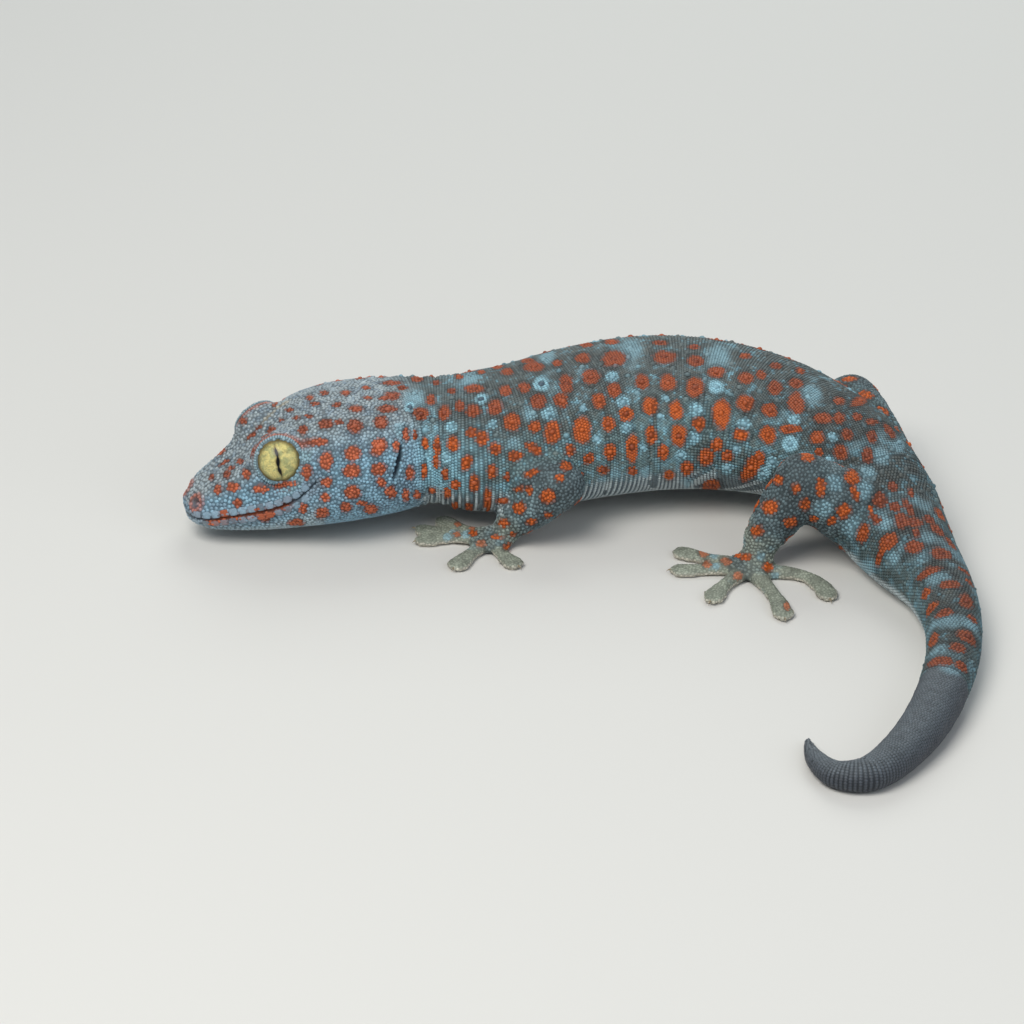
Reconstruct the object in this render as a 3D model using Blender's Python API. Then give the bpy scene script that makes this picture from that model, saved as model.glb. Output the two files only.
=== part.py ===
"""Tokay gecko, life size and still, on four flat feet with its tail laid in a hook.

Lengths are in millimetres until the last step, which scales every mesh to metres.
X runs from the snout towards the pelvis, Y from the animal's left side to its right,
and Z up from the floor that the feet and the tail rest on.
"""

import math
import random

import bmesh
import bpy
from mathutils import Matrix, Vector

MM = 0.001
GAP = 0.3
ORIGIN = Vector((11.2, -29.0, 0.0))

# Head: a straight axis from the snout, turned towards the left side of the animal.
SNOUT = Vector((-62.0, -10.0, 0.0))
HEAD_YAW = math.radians(17.0)
HEAD_LENGTH = 41.5
# back from the snout, half width, underside, widest level, crown, squareness
HEAD_STATIONS = (
    (0.5, 2.2, 4.9, 6.8, 8.4, 2.2),
    (1.1, 3.7, 4.0, 6.8, 9.3, 2.2),
    (2.3, 5.2, 3.0, 7.0, 10.5, 2.2),
    (4.0, 6.4, 2.2, 7.4, 11.8, 2.3),
    (7.0, 7.7, 1.8, 8.0, 13.5, 2.5),
    (11.0, 9.5, 1.8, 8.8, 16.2, 2.7),
    (15.0, 11.3, 1.8, 9.8, 19.4, 2.7),
    (19.0, 13.0, 1.9, 10.8, 22.2, 2.6),
    (24.0, 14.9, 2.0, 11.8, 24.5, 2.4),
    (30.0, 16.2, 2.1, 12.6, 25.6, 2.3),
    (36.0, 16.4, 2.2, 13.2, 25.7, 2.25),
)
# x, y, half width, underside, widest level, back; all of squareness BODY_SQUARENESS
TRUNK_STATIONS = (
    (-20.5, 2.7, 15.4, 2.6, 13.6, 25.2),
    (-15.0, 3.4, 15.0, 3.5, 13.4, 24.8),
    (-7.0, 3.6, 17.0, 1.7, 13.0, 25.4),
    (3.0, 5.6, 17.8, 1.6, 13.4, 26.4),
    (14.0, 9.2, 18.3, 1.9, 14.2, 28.0),
    (26.0, 11.8, 18.5, 2.2, 14.8, 28.9),
    (38.0, 11.6, 18.0, 2.5, 14.6, 28.4),
    (49.0, 8.4, 16.6, 2.8, 13.8, 26.6),
    (58.0, 2.6, 14.6, 3.0, 12.6, 24.2),
    (65.0, -5.0, 12.4, 2.6, 11.4, 21.6),
    (69.5, -13.0, 10.4, 1.6, 9.4, 18.6),
)
# x, y, half width, height
TAIL_STATIONS = (
    (71.4, -20.5, 10.3, 15.6),
    (74.4, -29.5, 8.6, 13.4),
    (77.8, -38.5, 6.6, 11.6),
    (79.6, -50.0, 5.5, 10.4),
    (78.9, -61.5, 5.0, 9.4),
    (76.4, -72.5, 4.7, 8.8),
    (72.4, -84.0, 4.4, 8.0),
    (67.0, -94.0, 3.9, 7.0),
    (61.0, -100.5, 3.4, 6.0),
    (55.6, -100.0, 2.8, 4.9),
    (52.4, -94.5, 2.1, 3.7),
    (51.4, -88.5, 1.3, 2.4),
    (51.6, -85.0, 0.6, 1.3),
)
BODY_SQUARENESS = 2.25
HEAD_SIDES = 32
BODY_SIDES = 26
TAIL_SIDES = 18
RING_STEP = 3.2

# Eyes: the centre back from the snout, off the midline and above the floor.
EYE_BACK, EYE_OFF, EYE_UP = 17.2, 6.6, 17.3
EYE_RADIUS = 4.95
EYE_FORWARD = math.radians(18.0)
EYE_RAISED = math.radians(20.0)
EYE_OPENING = 3.95
ORBIT_RADIUS = 5.75
LID_RADIUS, LID_THICK, LID_RISE = 4.45, 0.5, 0.35

# Mouth line: back from the snout and above the floor, on each side of the head.
MOUTH_LINE = ((-2.0, 5.0), (4.0, 6.3), (10.0, 7.8), (15.0, 9.4), (19.0, 11.6), (22.3, 15.0))
JAW_CUT = ((24.8, 13.6), (27.0, 9.5), (28.5, -2.0))
LIP_SWELL = 0.45

# Leg joints, each x, y, z and half thickness, from the root in the body to the palm.
FORE_LEFT = ((-3.0, -5.0, 13.0, 5.8), (9.4, -14.0, 13.0, 4.8), (0.0, -12.8, 4.4, 3.4))
FORE_RIGHT = ((-1.0, 14.0, 13.0, 5.8), (9.0, 23.6, 11.2, 4.8), (-2.6, 25.0, 4.4, 3.4))
HIND_LEFT = ((66.5, -19.6, 8.6, 7.6), (54.2, -19.5, 17.0, 5.6), (46.8, -21.0, 5.6, 4.0))
HIND_RIGHT = ((71.0, -4.0, 10.6, 7.2), (66.0, 17.6, 15.2, 5.5), (57.0, 24.0, 5.6, 4.0))

# Palms: centre x and y, half length, half width, height.
PALM_FORE_LEFT = (-3.6, -13.4, 4.8, 4.4, 3.4)
PALM_FORE_RIGHT = (-7.0, 26.0, 4.6, 4.2, 3.4)
PALM_HIND_LEFT = (44.6, -24.0, 4.8, 4.6, 3.6)
PALM_HIND_RIGHT = (53.5, 27.5, 4.8, 4.6, 3.6)

# Toe tips, from the innermost toe to the outermost one: x, y and how far the toe bows.
TOES_FORE_LEFT = (
    (-14.2, -4.0, 0.6),
    (-18.8, -8.2, 0.4),
    (-18.4, -13.6, -1.2),
    (-11.0, -24.4, -0.5),
    (1.4, -23.6, -0.8),
)
TOES_FORE_RIGHT = (
    (-14.5, 17.0, -0.6),
    (-20.5, 20.6, -0.4),
    (-22.0, 28.0, 0.6),
    (-16.2, 37.6, 0.6),
    (-3.4, 37.6, 0.8),
)
TOES_HIND_LEFT = (
    (30.4, -16.8, 0.5),
    (29.4, -24.8, 0.3),
    (36.4, -37.2, -0.8),
    (50.0, -43.6, 0.8),
    (58.8, -36.4, 4.0),
)
TOES_HIND_RIGHT = (
    (41.5, 18.8, -0.5),
    (38.0, 27.0, -0.4),
    (43.0, 38.6, 0.6),
    (55.4, 45.0, 0.6),
    (66.0, 37.0, -1.6),
)
# share of the toe's length, half width, height
TOE_STATIONS = (
    (0.0, 2.2, 2.7),
    (0.45, 1.95, 2.3),
    (0.68, 2.35, 1.9),
    (0.84, 2.55, 1.7),
    (0.95, 2.0, 1.5),
    (1.0, 0.9, 1.2),
)
TOE_RUN = 20.0
TOE_RINGS = (0.0, 0.28, 0.5, 0.65, 0.82, 0.93, 1.0)
TOE_SIDES = 6
CLAW_LENGTH, CLAW_RADIUS = 2.0, 0.45
LIMB_RINGS, LIMB_SIDES, LIMB_BULGE = 4, 14, 0.35

EAR_BACK, EAR_OFF, EAR_UP = 37.8, 16.2, 17.5
EAR_SIZE = (1.0, 2.2, 3.0)
EAR_LEAN = math.radians(-20.0)
NOSTRIL_BACK, NOSTRIL_OFF, NOSTRIL_UP = 2.0, 4.8, 9.4
NOSTRIL_RADIUS = 0.75

# Tubercles: low cones in rows along the back and flanks, and in rings round the tail.
TUBERCLE_RADIUS, TUBERCLE_RISE, TUBERCLE_ROOT = 0.9, 0.55, 0.5
TUBERCLE_SIDES = 6
TUBERCLE_VARY = 0.18
TUBERCLE_EDGE = 2.0
# rows round the body in degrees from its left side over the back, and their pitch along it
HEAD_ROWS, HEAD_PITCH, HEAD_ROWS_FROM = (48.0, 76.0, 104.0, 132.0), 5.0, 29.0
BACK_ROWS, BACK_PITCH = (18.0, 38.0, 57.0, 75.0, 105.0, 123.0, 142.0, 162.0), 7.4
TAIL_ROWS, TAIL_PITCH = (34.0, 72.0, 108.0, 146.0), 7.0
SEED = 11

COLOURS = {
    "head": (0.16, 0.29, 0.36),
    "body": (0.10, 0.19, 0.21),
    "limb": (0.09, 0.14, 0.15),
    "toe": (0.26, 0.28, 0.21),
    "tail_end": (0.05, 0.065, 0.08),
    "eye": (0.55, 0.48, 0.16),
}


def clear_scene():
    for old in list(bpy.data.objects):
        bpy.data.objects.remove(old, do_unlink=True)


def new_collection(name, helper=False):
    made = bpy.data.collections.new(name)
    made.hide_render = helper
    bpy.context.scene.collection.children.link(made)
    return made


class Track:
    """A smooth line through stations: the first columns are its path, the rest its sizes."""

    def __init__(self, stations, path_columns):
        self.rows = [tuple(map(float, row)) for row in stations]
        self.at_row = [0.0]
        for a, b in zip(self.rows, self.rows[1:]):
            step = math.dist(a[:path_columns], b[:path_columns])
            self.at_row.append(self.at_row[-1] + step)
        self.length = self.at_row[-1]

    def slope(self, i):
        low, high = max(i - 1, 0), min(i + 1, len(self.rows) - 1)
        run = self.at_row[high] - self.at_row[low]
        return tuple((q - p) / run for p, q in zip(self.rows[low], self.rows[high]))

    def at(self, distance):
        distance = min(max(distance, 0.0), self.length)
        i = 0
        while i < len(self.rows) - 2 and distance > self.at_row[i + 1]:
            i += 1
        run = self.at_row[i + 1] - self.at_row[i]
        t = (distance - self.at_row[i]) / run
        start, end = self.rows[i], self.rows[i + 1]
        rise, fall = self.slope(i), self.slope(i + 1)
        h = (2 * t**3 - 3 * t**2 + 1, t**3 - 2 * t**2 + t, 3 * t**2 - 2 * t**3, t**3 - t**2)
        return tuple(
            h[0] * a + h[1] * run * m + h[2] * b + h[3] * run * n
            for a, m, b, n in zip(start, rise, end, fall)
        )

    def heading(self, distance, columns=3):
        ahead = Vector(self.at(distance + 0.2)[:columns])
        behind = Vector(self.at(distance - 0.2)[:columns])
        return (ahead - behind).normalized()


def head_point(back, off, up):
    """A point of the head; off is positive towards the animal's left side."""
    rear = Vector((math.cos(HEAD_YAW), math.sin(HEAD_YAW), 0.0))
    left = Vector((rear.y, -rear.x, 0.0))
    return SNOUT + rear * back + left * off + Vector((0.0, 0.0, up))


def body_track():
    rows = []
    for back, *sizes in HEAD_STATIONS:
        place = head_point(back, 0.0, 0.0)
        rows.append((place.x, place.y, *sizes))
    rows.extend((*row, BODY_SQUARENESS) for row in TRUNK_STATIONS)
    for x, y, width, height in TAIL_STATIONS:
        rows.append((x, y, width, -0.04 * height, 0.46 * height, height, BODY_SQUARENESS))
    return Track(rows, 2)


def superellipse(angle, power):
    c, s = math.cos(angle), math.sin(angle)
    return (
        math.copysign(abs(c) ** (2.0 / power), c),
        math.copysign(abs(s) ** (2.0 / power), s),
    )


def body_point(track, distance, angle, grow=0.0, swell=None):
    """A point in the upright plane across the body's line, with the floor side flattened."""
    x, y, width, low, wide, top, squareness = track.at(distance)
    ahead = track.heading(distance, 2)
    left = Vector((ahead.y, -ahead.x, 0.0))
    across, up = superellipse(angle, squareness)
    reach = (top - wide if up > 0.0 else wide - low) + grow
    off = across * (width + grow)
    level = wide + up * reach
    if swell:
        off += math.copysign(swell(distance, level) * abs(across), across)
    point = Vector((x, y, 0.0)) + left * off
    return Vector((point.x, point.y, max(level, 0.0)))


def body_ring(track, distance, sides, grow=0.0, swell=None):
    turns = [2.0 * math.pi * k / sides for k in range(sides)]
    return [body_point(track, distance, turn, grow, swell) for turn in turns]


def body_facing(track, distance, angle):
    """The way the body's surface faces."""
    along = body_point(track, distance + 0.1, angle) - body_point(track, distance - 0.1, angle)
    round_it = body_point(track, distance, angle + 0.02) - body_point(track, distance, angle - 0.02)
    return along.cross(round_it).normalized()


def mesh_object(name, bm, collection):
    bmesh.ops.recalc_face_normals(bm, faces=bm.faces)
    mesh = bpy.data.meshes.new(name)
    bm.to_mesh(mesh)
    bm.free()
    made = bpy.data.objects.new(name, mesh)
    collection.objects.link(made)
    return made


def loft(name, rings, collection):
    """One closed skin over rings of like counts, with flat ends."""
    bm = bmesh.new()
    rows = [[bm.verts.new(point) for point in ring] for ring in rings]
    sides = len(rows[0])
    for low, high in zip(rows, rows[1:]):
        for k in range(sides):
            n = (k + 1) % sides
            bm.faces.new((low[k], low[n], high[n], high[k]))
    bm.faces.new(rows[0])
    bm.faces.new(list(reversed(rows[-1])))
    return mesh_object(name, bm, collection)


def steps(start, end, step):
    count = max(2, math.ceil((end - start) / step))
    return [start + (end - start) * k / count for k in range(count + 1)]


def length_of_body(name, track, start, end, sides, collection, grow=0.0):
    rings = [body_ring(track, s, sides, grow) for s in steps(start, end, RING_STEP)]
    return loft(name, rings, collection)


def largest_body(mesh):
    """Keeps the largest closed surface of a mesh."""
    bm = bmesh.new()
    bm.from_mesh(mesh)
    left = set(bm.verts)
    groups = []
    while left:
        todo = [left.pop()]
        group = set(todo)
        while todo:
            for edge in todo.pop().link_edges:
                for vert in edge.verts:
                    if vert in left:
                        left.discard(vert)
                        group.add(vert)
                        todo.append(vert)
        groups.append(group)
    groups.sort(key=len)
    for group in groups[:-1]:
        bmesh.ops.delete(bm, geom=list(group), context="VERTS")
    bm.to_mesh(mesh)
    bm.free()


def combine(piece, other, operation):
    """Applies one Boolean with an object or with all of a collection, and removes what it used."""
    modifier = piece.modifiers.new("combine", "BOOLEAN")
    modifier.operation = operation
    used = [other]
    if isinstance(other, bpy.types.Collection):
        modifier.operand_type = "COLLECTION"
        modifier.collection = other
        used = list(other.objects)
    else:
        modifier.object = other
    bpy.context.view_layer.update()
    graph = bpy.context.evaluated_depsgraph_get()
    mesh = bpy.data.meshes.new_from_object(piece.evaluated_get(graph))
    piece.modifiers.clear()
    piece.data = mesh
    for spent in used:
        bpy.data.objects.remove(spent, do_unlink=True)
    largest_body(piece.data)


def ball(name, centre, radii, collection, turn=None, segments=18, rings=10):
    bm = bmesh.new()
    bmesh.ops.create_uvsphere(bm, u_segments=segments, v_segments=rings, radius=1.0)
    bmesh.ops.scale(bm, vec=radii, verts=bm.verts)
    if turn is not None:
        bmesh.ops.rotate(bm, matrix=turn, verts=bm.verts, cent=(0, 0, 0))
    bmesh.ops.translate(bm, vec=centre, verts=bm.verts)
    return mesh_object(name, bm, collection)


def cone(name, base, tip, radius, tip_radius, sides, collection):
    axis = Vector(tip) - Vector(base)
    bm = bmesh.new()
    bmesh.ops.create_cone(
        bm,
        cap_ends=True,
        segments=sides,
        radius1=radius,
        radius2=tip_radius,
        depth=axis.length,
    )
    turn = axis.to_track_quat("Z", "Y").to_matrix()
    bmesh.ops.rotate(bm, matrix=turn, verts=bm.verts, cent=(0, 0, 0))
    bmesh.ops.translate(bm, vec=(Vector(base) + Vector(tip)) / 2, verts=bm.verts)
    return mesh_object(name, bm, collection)


def ring_tube(name, centre, axis, radius, thick, collection):
    """A torus round an axis."""
    bm = bmesh.new()
    around, across = 20, 6
    turn = Vector(axis).to_track_quat("Z", "Y").to_matrix()
    rows = []
    for i in range(around):
        a = 2 * math.pi * i / around
        row = []
        for j in range(across):
            b = 2 * math.pi * j / across
            reach = radius + thick * math.cos(b)
            local = Vector((reach * math.cos(a), reach * math.sin(a), thick * math.sin(b)))
            row.append(bm.verts.new(Vector(centre) + turn @ local))
        rows.append(row)
    for i in range(around):
        for j in range(across):
            corners = (
                rows[i][j],
                rows[(i + 1) % around][j],
                rows[(i + 1) % around][(j + 1) % across],
                rows[i][(j + 1) % across],
            )
            bm.faces.new(corners)
    return mesh_object(name, bm, collection)


def eye_axis(side):
    """The way an eye looks: out to its side, turned forwards and up."""
    yaw = EYE_FORWARD
    out = head_point(-math.sin(yaw), side * math.cos(yaw), 0.0) - SNOUT
    return out * math.cos(EYE_RAISED) + Vector((0.0, 0.0, math.sin(EYE_RAISED)))


def eye_centre(side):
    return head_point(EYE_BACK, side * EYE_OFF, EYE_UP)


def lip_swell(distance, level):
    """How far the lips stand out, just above and below the mouth line."""
    points = MOUTH_LINE
    if distance > points[-1][0]:
        return 0.0
    for (a, low), (b, high) in zip(points, points[1:]):
        if distance <= b:
            line = low + (high - low) * (distance - a) / (b - a)
            break
    return LIP_SWELL * math.exp(-(((level - line) / 1.8) ** 2))


def head_blank(track, collection, grow=0.0):
    stops = [0.0, 0.5, 1.2, 2.2, 3.6] + steps(5.4, HEAD_LENGTH - GAP / 2, 2.4)
    rings = [body_ring(track, s, HEAD_SIDES, grow, lip_swell) for s in stops]
    return loft("head", rings, collection)


def shifted(line, shift):
    """A profile line moved sideways by shift, down and forwards being negative."""
    moved = []
    for i, (back, up) in enumerate(line):
        before, after = line[max(i - 1, 0)], line[min(i + 1, len(line) - 1)]
        run = Vector((after[0] - before[0], after[1] - before[1])).normalized()
        moved.append((back - run.y * shift, up + run.x * shift))
    return moved


def jaw_prism(shift, collection):
    """The space of the lower jaw in profile, right across the head."""
    outline = shifted(MOUTH_LINE + JAW_CUT, shift) + [(-4.0, -2.0)]
    bm = bmesh.new()
    ends = [[bm.verts.new(head_point(b, off, u)) for b, u in outline] for off in (-24.0, 24.0)]
    count = len(outline)
    for k in range(count):
        n = (k + 1) % count
        bm.faces.new((ends[0][k], ends[0][n], ends[1][n], ends[1][k]))
    bm.faces.new(ends[0])
    bm.faces.new(list(reversed(ends[1])))
    bmesh.ops.triangulate(bm, faces=bm.faces)
    return mesh_object("jaw_space", bm, collection)


def make_head(parts, helpers, track):
    head = head_blank(track, parts)
    for side in (1, -1):
        centre, axis = eye_centre(side), eye_axis(side)
        dome = ball("orbit", centre, (ORBIT_RADIUS,) * 3, helpers)
        combine(head, dome, "UNION")
        reach = math.sqrt(EYE_RADIUS**2 - EYE_OPENING**2)
        rim = centre + axis * (reach + LID_RISE)
        combine(head, ring_tube("lid", rim, axis, LID_RADIUS, LID_THICK, helpers), "UNION")
        ear_turn = Matrix.Rotation(HEAD_YAW, 3, "Z") @ Matrix.Rotation(EAR_LEAN, 3, "Y")
        ear_place = head_point(EAR_BACK, side * EAR_OFF, EAR_UP)
        ear = ball("ear", ear_place, EAR_SIZE, helpers, ear_turn, 12, 8)
        combine(head, ear, "DIFFERENCE")
        nostril_place = head_point(NOSTRIL_BACK, side * NOSTRIL_OFF, NOSTRIL_UP)
        nostril = ball("nostril", nostril_place, (NOSTRIL_RADIUS,) * 3, helpers, None, 8, 6)
        combine(head, nostril, "DIFFERENCE")
        end = centre + axis * 2.0 * EYE_RADIUS
        opening = cone("opening", centre, end, EYE_OPENING, EYE_OPENING, 24, helpers)
        combine(head, opening, "DIFFERENCE")
        socket = ball("socket", centre, (EYE_RADIUS + GAP,) * 3, helpers)
        combine(head, socket, "DIFFERENCE")
    return head


def part_jaw(head, parts, helpers):
    """Cuts the lower jaw from the head; the cut is the line of the mouth."""
    jaw = bpy.data.objects.new("lower_jaw", head.data.copy())
    parts.objects.link(jaw)
    combine(jaw, jaw_prism(-GAP / 2, helpers), "INTERSECT")
    combine(head, jaw_prism(GAP / 2, helpers), "DIFFERENCE")
    return jaw


def make_eye(name, side, parts):
    return ball(name, eye_centre(side), (EYE_RADIUS,) * 3, parts)


def leg_clearance(point):
    """How far a point lies from the nearest leg."""
    nearest = math.inf
    for joints in (FORE_LEFT, FORE_RIGHT, HIND_LEFT, HIND_RIGHT):
        for start, end in zip(joints, joints[1:]):
            base, tip = Vector(start[:3]), Vector(end[:3])
            run = tip - base
            share = min(max((point - base).dot(run) / run.length_squared, 0.0), 1.0)
            radius = start[3] + (end[3] - start[3]) * share
            nearest = min(nearest, (point - base - run * share).length - radius)
    return nearest


def head_feature_clearance(point):
    """How far a point lies from the domes of the eyes and from the ears."""
    nearest = math.inf
    for side in (1, -1):
        ear = head_point(EAR_BACK, side * EAR_OFF, EAR_UP)
        nearest = min(nearest, (point - ear).length - max(EAR_SIZE))
        nearest = min(nearest, (point - eye_centre(side)).length - ORBIT_RADIUS)
    return nearest


def row_places(rows, pitch, start, end, staggered):
    """Pairs of distance and angle along each row between two distances."""
    for k, degrees in enumerate(rows):
        at = start + (pitch / 2 if staggered and k % 2 else 0.0)
        while at < end:
            yield at, math.radians(degrees)
            at += pitch


def add_tubercles(node, track, places, helpers, draw):
    """Joins a low cone to the node at each place, its root sunk in the flesh."""
    studs = bpy.data.collections.new("tubercles")
    helpers.children.link(studs)
    for distance, angle in places:
        distance += draw.uniform(-1.0, 1.0) * TUBERCLE_VARY
        size = 1.0 + draw.uniform(-1.0, 1.0) * TUBERCLE_VARY
        place = body_point(track, distance, angle)
        if min(leg_clearance(place), head_feature_clearance(place)) < TUBERCLE_EDGE:
            continue
        facing = body_facing(track, distance, angle)
        root = place - facing * TUBERCLE_ROOT
        tip = place + facing * TUBERCLE_RISE * size
        base = TUBERCLE_RADIUS * size * (tip - root).length / (TUBERCLE_RISE * size)
        cone("tubercle", root, tip, base, 0.0, TUBERCLE_SIDES, studs)
    combine(node, studs, "UNION")
    bpy.data.collections.remove(studs)


def make_tubercles(head, body, track, helpers):
    """Rows run on from node to node, and keep clear of the cuts between them."""
    draw = random.Random(SEED)
    tail_start = body["tail_base"][1]
    rows = {
        "head": list(row_places(HEAD_ROWS, HEAD_PITCH, HEAD_ROWS_FROM, HEAD_LENGTH, True)),
        "trunk": list(row_places(BACK_ROWS, BACK_PITCH, HEAD_LENGTH, tail_start, True)),
        "tail": list(row_places(TAIL_ROWS, TAIL_PITCH, tail_start, body["tail_middle"][2], False)),
    }
    spans = [(head, 0.0, HEAD_LENGTH, "head")]
    for name in ("neck", "chest", "belly", "pelvis"):
        spans.append((*body[name], "trunk"))
    for name in ("tail_base", "tail_middle"):
        spans.append((*body[name], "tail"))
    for node, start, end, kind in spans:
        low, high = start + TUBERCLE_EDGE, end - TUBERCLE_EDGE
        inside = [(s, angle) for s, angle in rows[kind] if low < s < high]
        add_tubercles(node, track, inside, helpers, draw)


def distance_at(track, row):
    """How far along the body a station lies, counted from the snout."""
    return track.at_row[row]


def make_body(parts, track):
    """The neck, trunk and tail, parted at named stations: each node with its start and end."""
    trunk, tail = len(HEAD_STATIONS), len(HEAD_STATIONS) + len(TRUNK_STATIONS)
    lengths = (
        ("neck", HEAD_LENGTH, distance_at(track, trunk + 2), BODY_SIDES),
        ("chest", distance_at(track, trunk + 2), distance_at(track, trunk + 4), BODY_SIDES),
        ("belly", distance_at(track, trunk + 4), distance_at(track, trunk + 8), BODY_SIDES),
        ("pelvis", distance_at(track, trunk + 8), distance_at(track, tail), BODY_SIDES),
        ("tail_base", distance_at(track, tail), distance_at(track, tail + 3), TAIL_SIDES),
        ("tail_middle", distance_at(track, tail + 3), distance_at(track, tail + 6), TAIL_SIDES),
        ("tail_regrown", distance_at(track, tail + 6), distance_at(track, tail + 9), TAIL_SIDES),
        ("tail_tip", distance_at(track, tail + 9), track.length, TAIL_SIDES),
    )
    made = {}
    for name, start, end, sides in lengths:
        end_gap = 0.0 if name == "tail_tip" else GAP / 2
        piece = length_of_body(name, track, start + GAP / 2, end - end_gap, sides, parts)
        made[name] = (piece, start, end)
    return made


def limb_length(name, start, end, collection, grow=0.0):
    """A tapering round length from one joint to the next, with a round far end."""
    base, tip = Vector(start[:3]), Vector(end[:3])
    axis = (tip - base).normalized()
    frame = axis.to_track_quat("Z", "Y").to_matrix()
    profile = []
    for k in range(LIMB_RINGS + 1):
        share = k / LIMB_RINGS
        bulge = LIMB_BULGE * math.sin(math.pi * share)
        radius = start[3] * 0.94 + (end[3] - start[3] * 0.94) * share + bulge
        profile.append(((tip - base).length * share, radius + grow))
    for turn in (30.0, 55.0, 78.0):
        angle = math.radians(turn)
        radius = end[3] + grow
        profile.append(((tip - base).length + radius * math.sin(angle), radius * math.cos(angle)))
    rings = []
    for along, radius in profile:
        ring = []
        for k in range(LIMB_SIDES):
            a = 2.0 * math.pi * k / LIMB_SIDES
            local = Vector((radius * math.cos(a), radius * math.sin(a), along))
            ring.append(base + frame @ local)
        rings.append(ring)
    return loft(name, rings, collection)


def make_palm(name, palm, wrist, collection, grow=0.0):
    """A low round pad with a flat underside, turned away from the leg's last joint."""
    x, y, half_length, half_width, height = palm
    turn = Matrix.Rotation(math.atan2(y - wrist[1], x - wrist[0]), 3, "Z")
    radii = (half_length + grow, half_width + grow, 0.62 * height + grow)
    pad = ball(name, Vector((x, y, 0.38 * height)), radii, collection, turn, 14, 8)
    for vert in pad.data.vertices:
        vert.co.z = max(vert.co.z, -grow)
    return pad


def toe_line(palm, tip):
    """The middle line of a toe on the floor, bowed to one side."""
    start = Vector(palm[:2]).lerp(Vector(tip[:2]), 0.12)
    run = Vector(tip[:2]) - start
    across = Vector((-run.y, run.x)).normalized()
    return lambda share: start + run * share + across * tip[2] * math.sin(math.pi * share)


def make_toe(name, palm, tip, collection, grow=0.0):
    """A toe with a flat sole that widens into its pad."""
    line = toe_line(palm, tip)
    sizes = Track([(s * TOE_RUN, w, h) for s, w, h in TOE_STATIONS], 1)
    rings = []
    for share in TOE_RINGS:
        _, width, height = sizes.at(share * TOE_RUN)
        middle = line(share)
        ahead = (line(min(share + 0.02, 1.0)) - line(max(share - 0.02, 0.0))).normalized()
        left = Vector((-ahead.y, ahead.x))
        ring = []
        for k in range(TOE_SIDES + 1):
            across, up = superellipse(math.pi * k / TOE_SIDES, 2.5)
            place = middle + left * across * (width + grow)
            ring.append(Vector((place.x, place.y, up * (height + grow) - (1.0 - up) * grow)))
        rings.append(ring)
    return loft(name, rings, collection)


def add_claw(toe, palm, tip, helpers):
    """A short hooked claw over the end of the pad."""
    end = Vector((tip[0], tip[1], 0.0))
    out = (end - Vector((palm[0], palm[1], 0.0))).normalized()
    root = end - out * 0.45 * CLAW_LENGTH + Vector((0.0, 0.0, 0.8))
    point = end + out * 0.55 * CLAW_LENGTH + Vector((0.0, 0.0, 0.35))
    combine(toe, cone("claw", root, point, CLAW_RADIUS, 0.12, 6, helpers), "UNION")


def make_leg(name, joints, palm, tips, core, parts, helpers):
    """One leg from its root in the body to its toes, each piece cut clear of the last."""
    root, middle, ankle = joints
    upper = limb_length(name + "_upper", root, middle, parts)
    combine(upper, core(), "DIFFERENCE")
    lower = limb_length(name + "_lower", middle, ankle, parts)
    combine(lower, limb_length("clear", root, middle, helpers, GAP), "DIFFERENCE")
    combine(lower, core(), "DIFFERENCE")
    foot = make_palm(name + "_foot", palm, ankle, parts)
    combine(foot, limb_length("clear", middle, ankle, helpers, GAP), "DIFFERENCE")
    toes = []
    for k, tip in enumerate(tips):
        toe = make_toe(f"{name}_toe_{k + 1}", palm, tip, parts)
        combine(toe, make_palm("clear", palm, ankle, helpers, GAP), "DIFFERENCE")
        combine(toe, limb_length("clear", middle, ankle, helpers, GAP), "DIFFERENCE")
        if k:
            beside = make_toe("clear", palm, tips[k - 1], helpers, GAP)
            combine(toe, beside, "DIFFERENCE")
            add_claw(toe, palm, tip, helpers)
        toes.append(toe)
    return [upper, lower, foot] + toes


def make_legs(parts, helpers, track):
    trunk = len(HEAD_STATIONS)
    tail = trunk + len(TRUNK_STATIONS)

    def core_between(first, last):
        start, end = distance_at(track, first), distance_at(track, last)
        return lambda: length_of_body("core", track, start, end, BODY_SIDES, helpers, GAP)

    front = core_between(trunk, trunk + 6)
    rear = core_between(trunk + 5, tail + 2)
    plans = (
        ("foreleg_left", FORE_LEFT, PALM_FORE_LEFT, TOES_FORE_LEFT, front),
        ("foreleg_right", FORE_RIGHT, PALM_FORE_RIGHT, TOES_FORE_RIGHT, front),
        ("hindleg_left", HIND_LEFT, PALM_HIND_LEFT, TOES_HIND_LEFT, rear),
        ("hindleg_right", HIND_RIGHT, PALM_HIND_RIGHT, TOES_HIND_RIGHT, rear),
    )
    return {
        name: make_leg(name, joints, palm, tips, core, parts, helpers)
        for name, joints, palm, tips, core in plans
    }


def material(name, colour, roughness):
    made = bpy.data.materials.new(name)
    made.use_nodes = True
    shader = made.node_tree.nodes["Principled BSDF"]
    shader.inputs["Base Color"].default_value = (*colour, 1.0)
    shader.inputs["Roughness"].default_value = roughness
    shader.inputs["Metallic"].default_value = 0.0
    return made


def colour_of(name):
    if name.startswith("eye"):
        return COLOURS["eye"], 0.15
    if name in ("head", "lower_jaw"):
        return COLOURS["head"], 0.55
    if "_toe_" in name or name.endswith("_foot"):
        return COLOURS["toe"], 0.6
    if "leg_" in name:
        return COLOURS["limb"], 0.6
    if name in ("tail_regrown", "tail_tip"):
        return COLOURS["tail_end"], 0.55
    return COLOURS["body"], 0.55


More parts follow.
